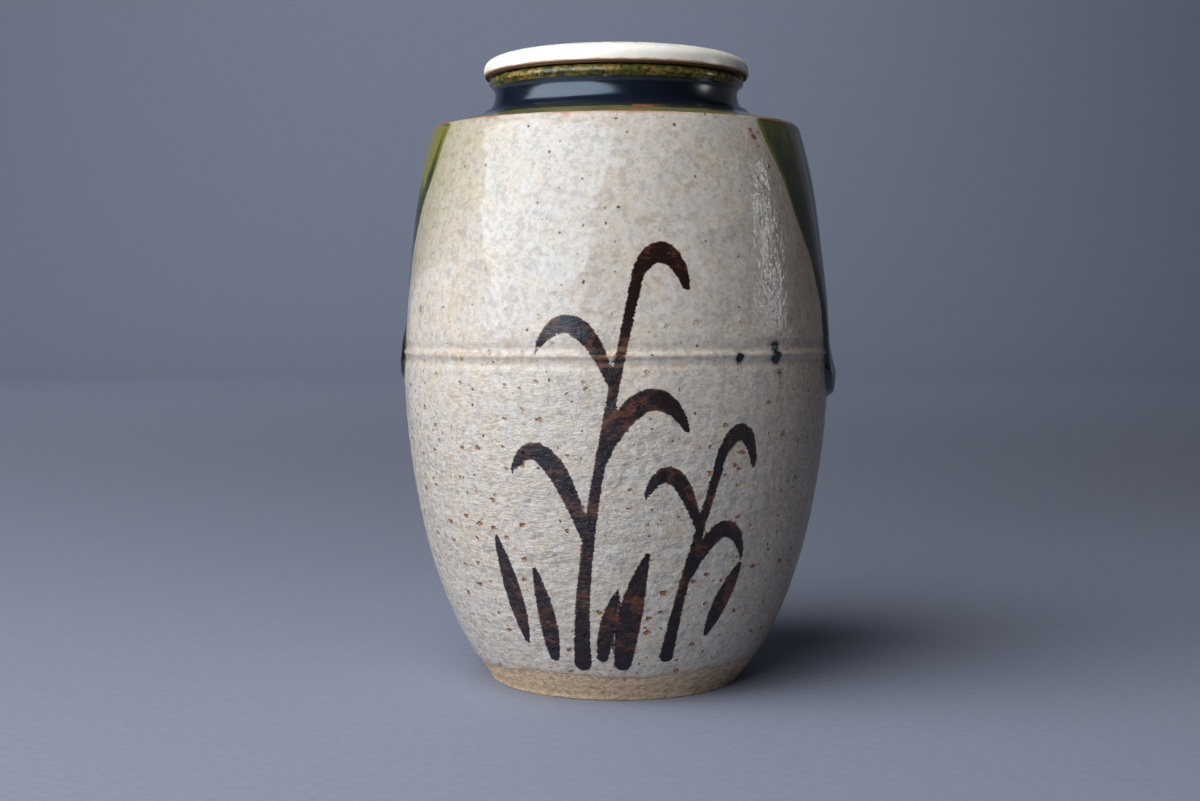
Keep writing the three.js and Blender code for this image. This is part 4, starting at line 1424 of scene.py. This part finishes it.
class TEACADDY_OT_lining(bpy.types.Operator):
    """Model the gilt paper under the lid"""

    bl_idname = "teacaddy.lining"
    bl_label = "Gilt Lining"

    def execute(self, context):
        sizes = context.scene.tea_caddy
        lid = sizes.lid
        boss = boss_radius(sizes.jar, lid)
        low = LINING_FOOT.z
        ledge = LINING_TOP.z - lid.lining
        edge = LINING_TOP.x
        corners = np.array([
            (0, low), (boss, low), (boss, ledge), (edge, ledge), (edge, ledge + lid.lining),
            (boss - lid.lining, ledge + lid.lining), (boss - lid.lining, low + lid.lining),
            (0, low + lid.lining),
        ])
        outline = np.vstack([resampled(corners[index:index + 2], LINING_SPACING)[:-1]
                             for index in range(len(corners) - 1)] + [corners[-1:]])
        piece = lathe("gilt_paper", outline, lid.columns)
        bpy.ops.object.shade_smooth_by_angle(angle=SHARP_ANGLE)
        use_material(piece, gilt_finish(sizes.colours))
        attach(piece, "lid")
        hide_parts("gilt_lining")
        return {"FINISHED"}


def soft_light(name, watts, width, near, far, direction, tint=(1.0, 1.0, 1.0), aside=0,
               diffuse=True, glossy=True):
    """An area light that leans over the jar. Its near and far edges are given as distances out from
    the axis in one direction, in degrees, and as heights. It may be moved aside, to the right of
    one who looks from it at the jar. It may leave out matt or glossy reflections."""
    light = bpy.data.lights.new(name, "AREA")
    light.shape = "RECTANGLE"
    light.size = width
    light.size_y = math.dist(near, far)
    light.energy = watts
    light.color = tint
    lamp = bpy.data.objects.new(name, light)
    bpy.context.scene.collection.objects.link(lamp)
    azimuth = math.radians(direction)
    out = (near[0] + far[0]) / 2
    lamp.location = (out * math.sin(azimuth) + aside * math.cos(azimuth),
                     aside * math.sin(azimuth) - out * math.cos(azimuth), (near[1] + far[1]) / 2)
    lamp.rotation_euler = (math.atan2(near[1] - far[1], far[0] - near[0]), 0, azimuth)
    lamp.visible_diffuse = diffuse
    lamp.visible_glossy = glossy


def set_lights(stage):
    """The large light at the left front, its helpers, and the light on the backdrop, in metres."""
    soft_light("key_light", stage.key_watts, width=1.10, near=(0.445, 0.473), far=(1.325, 0.143),
               direction=-45, aside=-0.075)
    soft_light("top_light", stage.top_watts, width=0.30, near=(0.08, 0.42), far=(0.30, 0.36),
               direction=-50, glossy=False)
    soft_light("side_light", stage.side_watts, width=0.08, near=(0.54, 0.25), far=(0.80, 0.07),
               direction=90, tint=(1.0, 0.88, 0.78), diffuse=False)
    soft_light("rear_light", stage.rear_watts, width=0.56, near=(0.50, 0.40), far=(0.62, 0.01),
               direction=125, diffuse=False)
    soft_light("back_light", stage.back_watts, width=1.20, near=(0.45, 0.75), far=(0.62, 1.15),
               direction=-158, tint=(0.95, 0.98, 1.0))
    world = bpy.data.worlds.new("room")
    world.use_nodes = True
    background = world.node_tree.nodes["Background"]
    background.inputs["Color"].default_value = (0.62, 0.70, 0.88, 1)
    background.inputs["Strength"].default_value = stage.ambient
    bpy.context.scene.world = world


def select_edges(piece, wanted):
    """Leaves a piece in edit mode with the edges selected whose two ends are both wanted."""
    bpy.ops.object.mode_set(mode="EDIT")
    bpy.ops.mesh.select_mode(type="EDGE")
    bpy.ops.mesh.select_all(action="DESELECT")
    bpy.ops.object.mode_set(mode="OBJECT")
    for edge in piece.data.edges:
        edge.select = all(wanted(piece.data.vertices[end].co) for end in edge.vertices)
    bpy.ops.object.mode_set(mode="EDIT")


class TEACADDY_OT_stage(bpy.types.Operator):
    """Set the floor, the lights and the camera"""

    bl_idname = "teacaddy.stage"
    bl_label = "Stage"

    def execute(self, context):
        stage = context.scene.tea_caddy.stage
        bpy.ops.object.select_all(action="DESELECT")
        bpy.ops.mesh.primitive_plane_add(size=stage.floor_size)
        board = context.active_object
        board.name = board.data.name = "floor_and_backdrop"
        far_back = stage.floor_size / 4
        select_edges(board, lambda end: end.y > far_back)
        bpy.ops.mesh.extrude_region_move(TRANSFORM_OT_translate={"value": (0, 0, stage.backdrop)})
        select_edges(board, lambda end: end.y > far_back and end.z < stage.fold)
        bpy.ops.mesh.bevel(offset=stage.fold, segments=24, affect="EDGES")
        bpy.ops.mesh.select_mode(type="VERT")
        bpy.ops.object.mode_set(mode="OBJECT")
        bpy.ops.object.shade_smooth()
        use_material(board, floor_finish(stage))
        set_lights(stage)

        camera = bpy.data.cameras.new("camera")
        camera.lens = stage.lens
        camera.clip_start = 0.01
        eye = bpy.data.objects.new("camera", camera)
        context.scene.collection.objects.link(eye)
        eye.location = (-stage.camera_side, -stage.camera_away, stage.camera_height)
        eye.rotation_euler = (math.pi / 2 - stage.camera_pitch, 0, 0)
        context.scene.camera = eye
        context.scene.view_settings.view_transform = "Standard"
        return {"FINISHED"}


class TeaCaddySettings(bpy.types.PropertyGroup):
    """All sizes and colours of the caddy and its stage."""

    jar: PointerProperty(type=JarSizes)
    green: PointerProperty(type=GreenSizes)
    lid: PointerProperty(type=LidSizes)
    colours: PointerProperty(type=Colours)
    stage: PointerProperty(type=StageSettings)


OPERATORS = (TEACADDY_OT_jar, TEACADDY_OT_green, TEACADDY_OT_lid, TEACADDY_OT_lining,
             TEACADDY_OT_stage)


class TEACADDY_PT_panel(bpy.types.Panel):
    """Lists the caddy's pieces and their sizes"""

    bl_idname = "TEACADDY_PT_panel"
    bl_label = "Tea Caddy"
    bl_space_type = "VIEW_3D"
    bl_region_type = "UI"
    bl_category = "Tea Caddy"

    def draw(self, context):
        settings = context.scene.tea_caddy
        for group in (settings.jar, settings.green, settings.lid, settings.colours, settings.stage):
            box = self.layout.box()
            for name in group.__annotations__:
                box.prop(group, name)
        for operator in OPERATORS:
            self.layout.operator(operator.bl_idname)


CLASSES = (JarSizes, GreenSizes, LidSizes, Colours, StageSettings, TeaCaddySettings, *OPERATORS,
           TEACADDY_PT_panel)


def register():
    for cls in CLASSES:
        bpy.utils.register_class(cls)
    bpy.types.Scene.tea_caddy = PointerProperty(type=TeaCaddySettings)


def unregister():
    del bpy.types.Scene.tea_caddy
    for cls in reversed(CLASSES):
        bpy.utils.unregister_class(cls)


def main():
    register()
    bpy.ops.teacaddy.jar()
    bpy.ops.teacaddy.green()
    bpy.ops.teacaddy.lid()
    bpy.ops.teacaddy.lining()
    bpy.ops.teacaddy.stage()


if __name__ == "__main__":
    main()
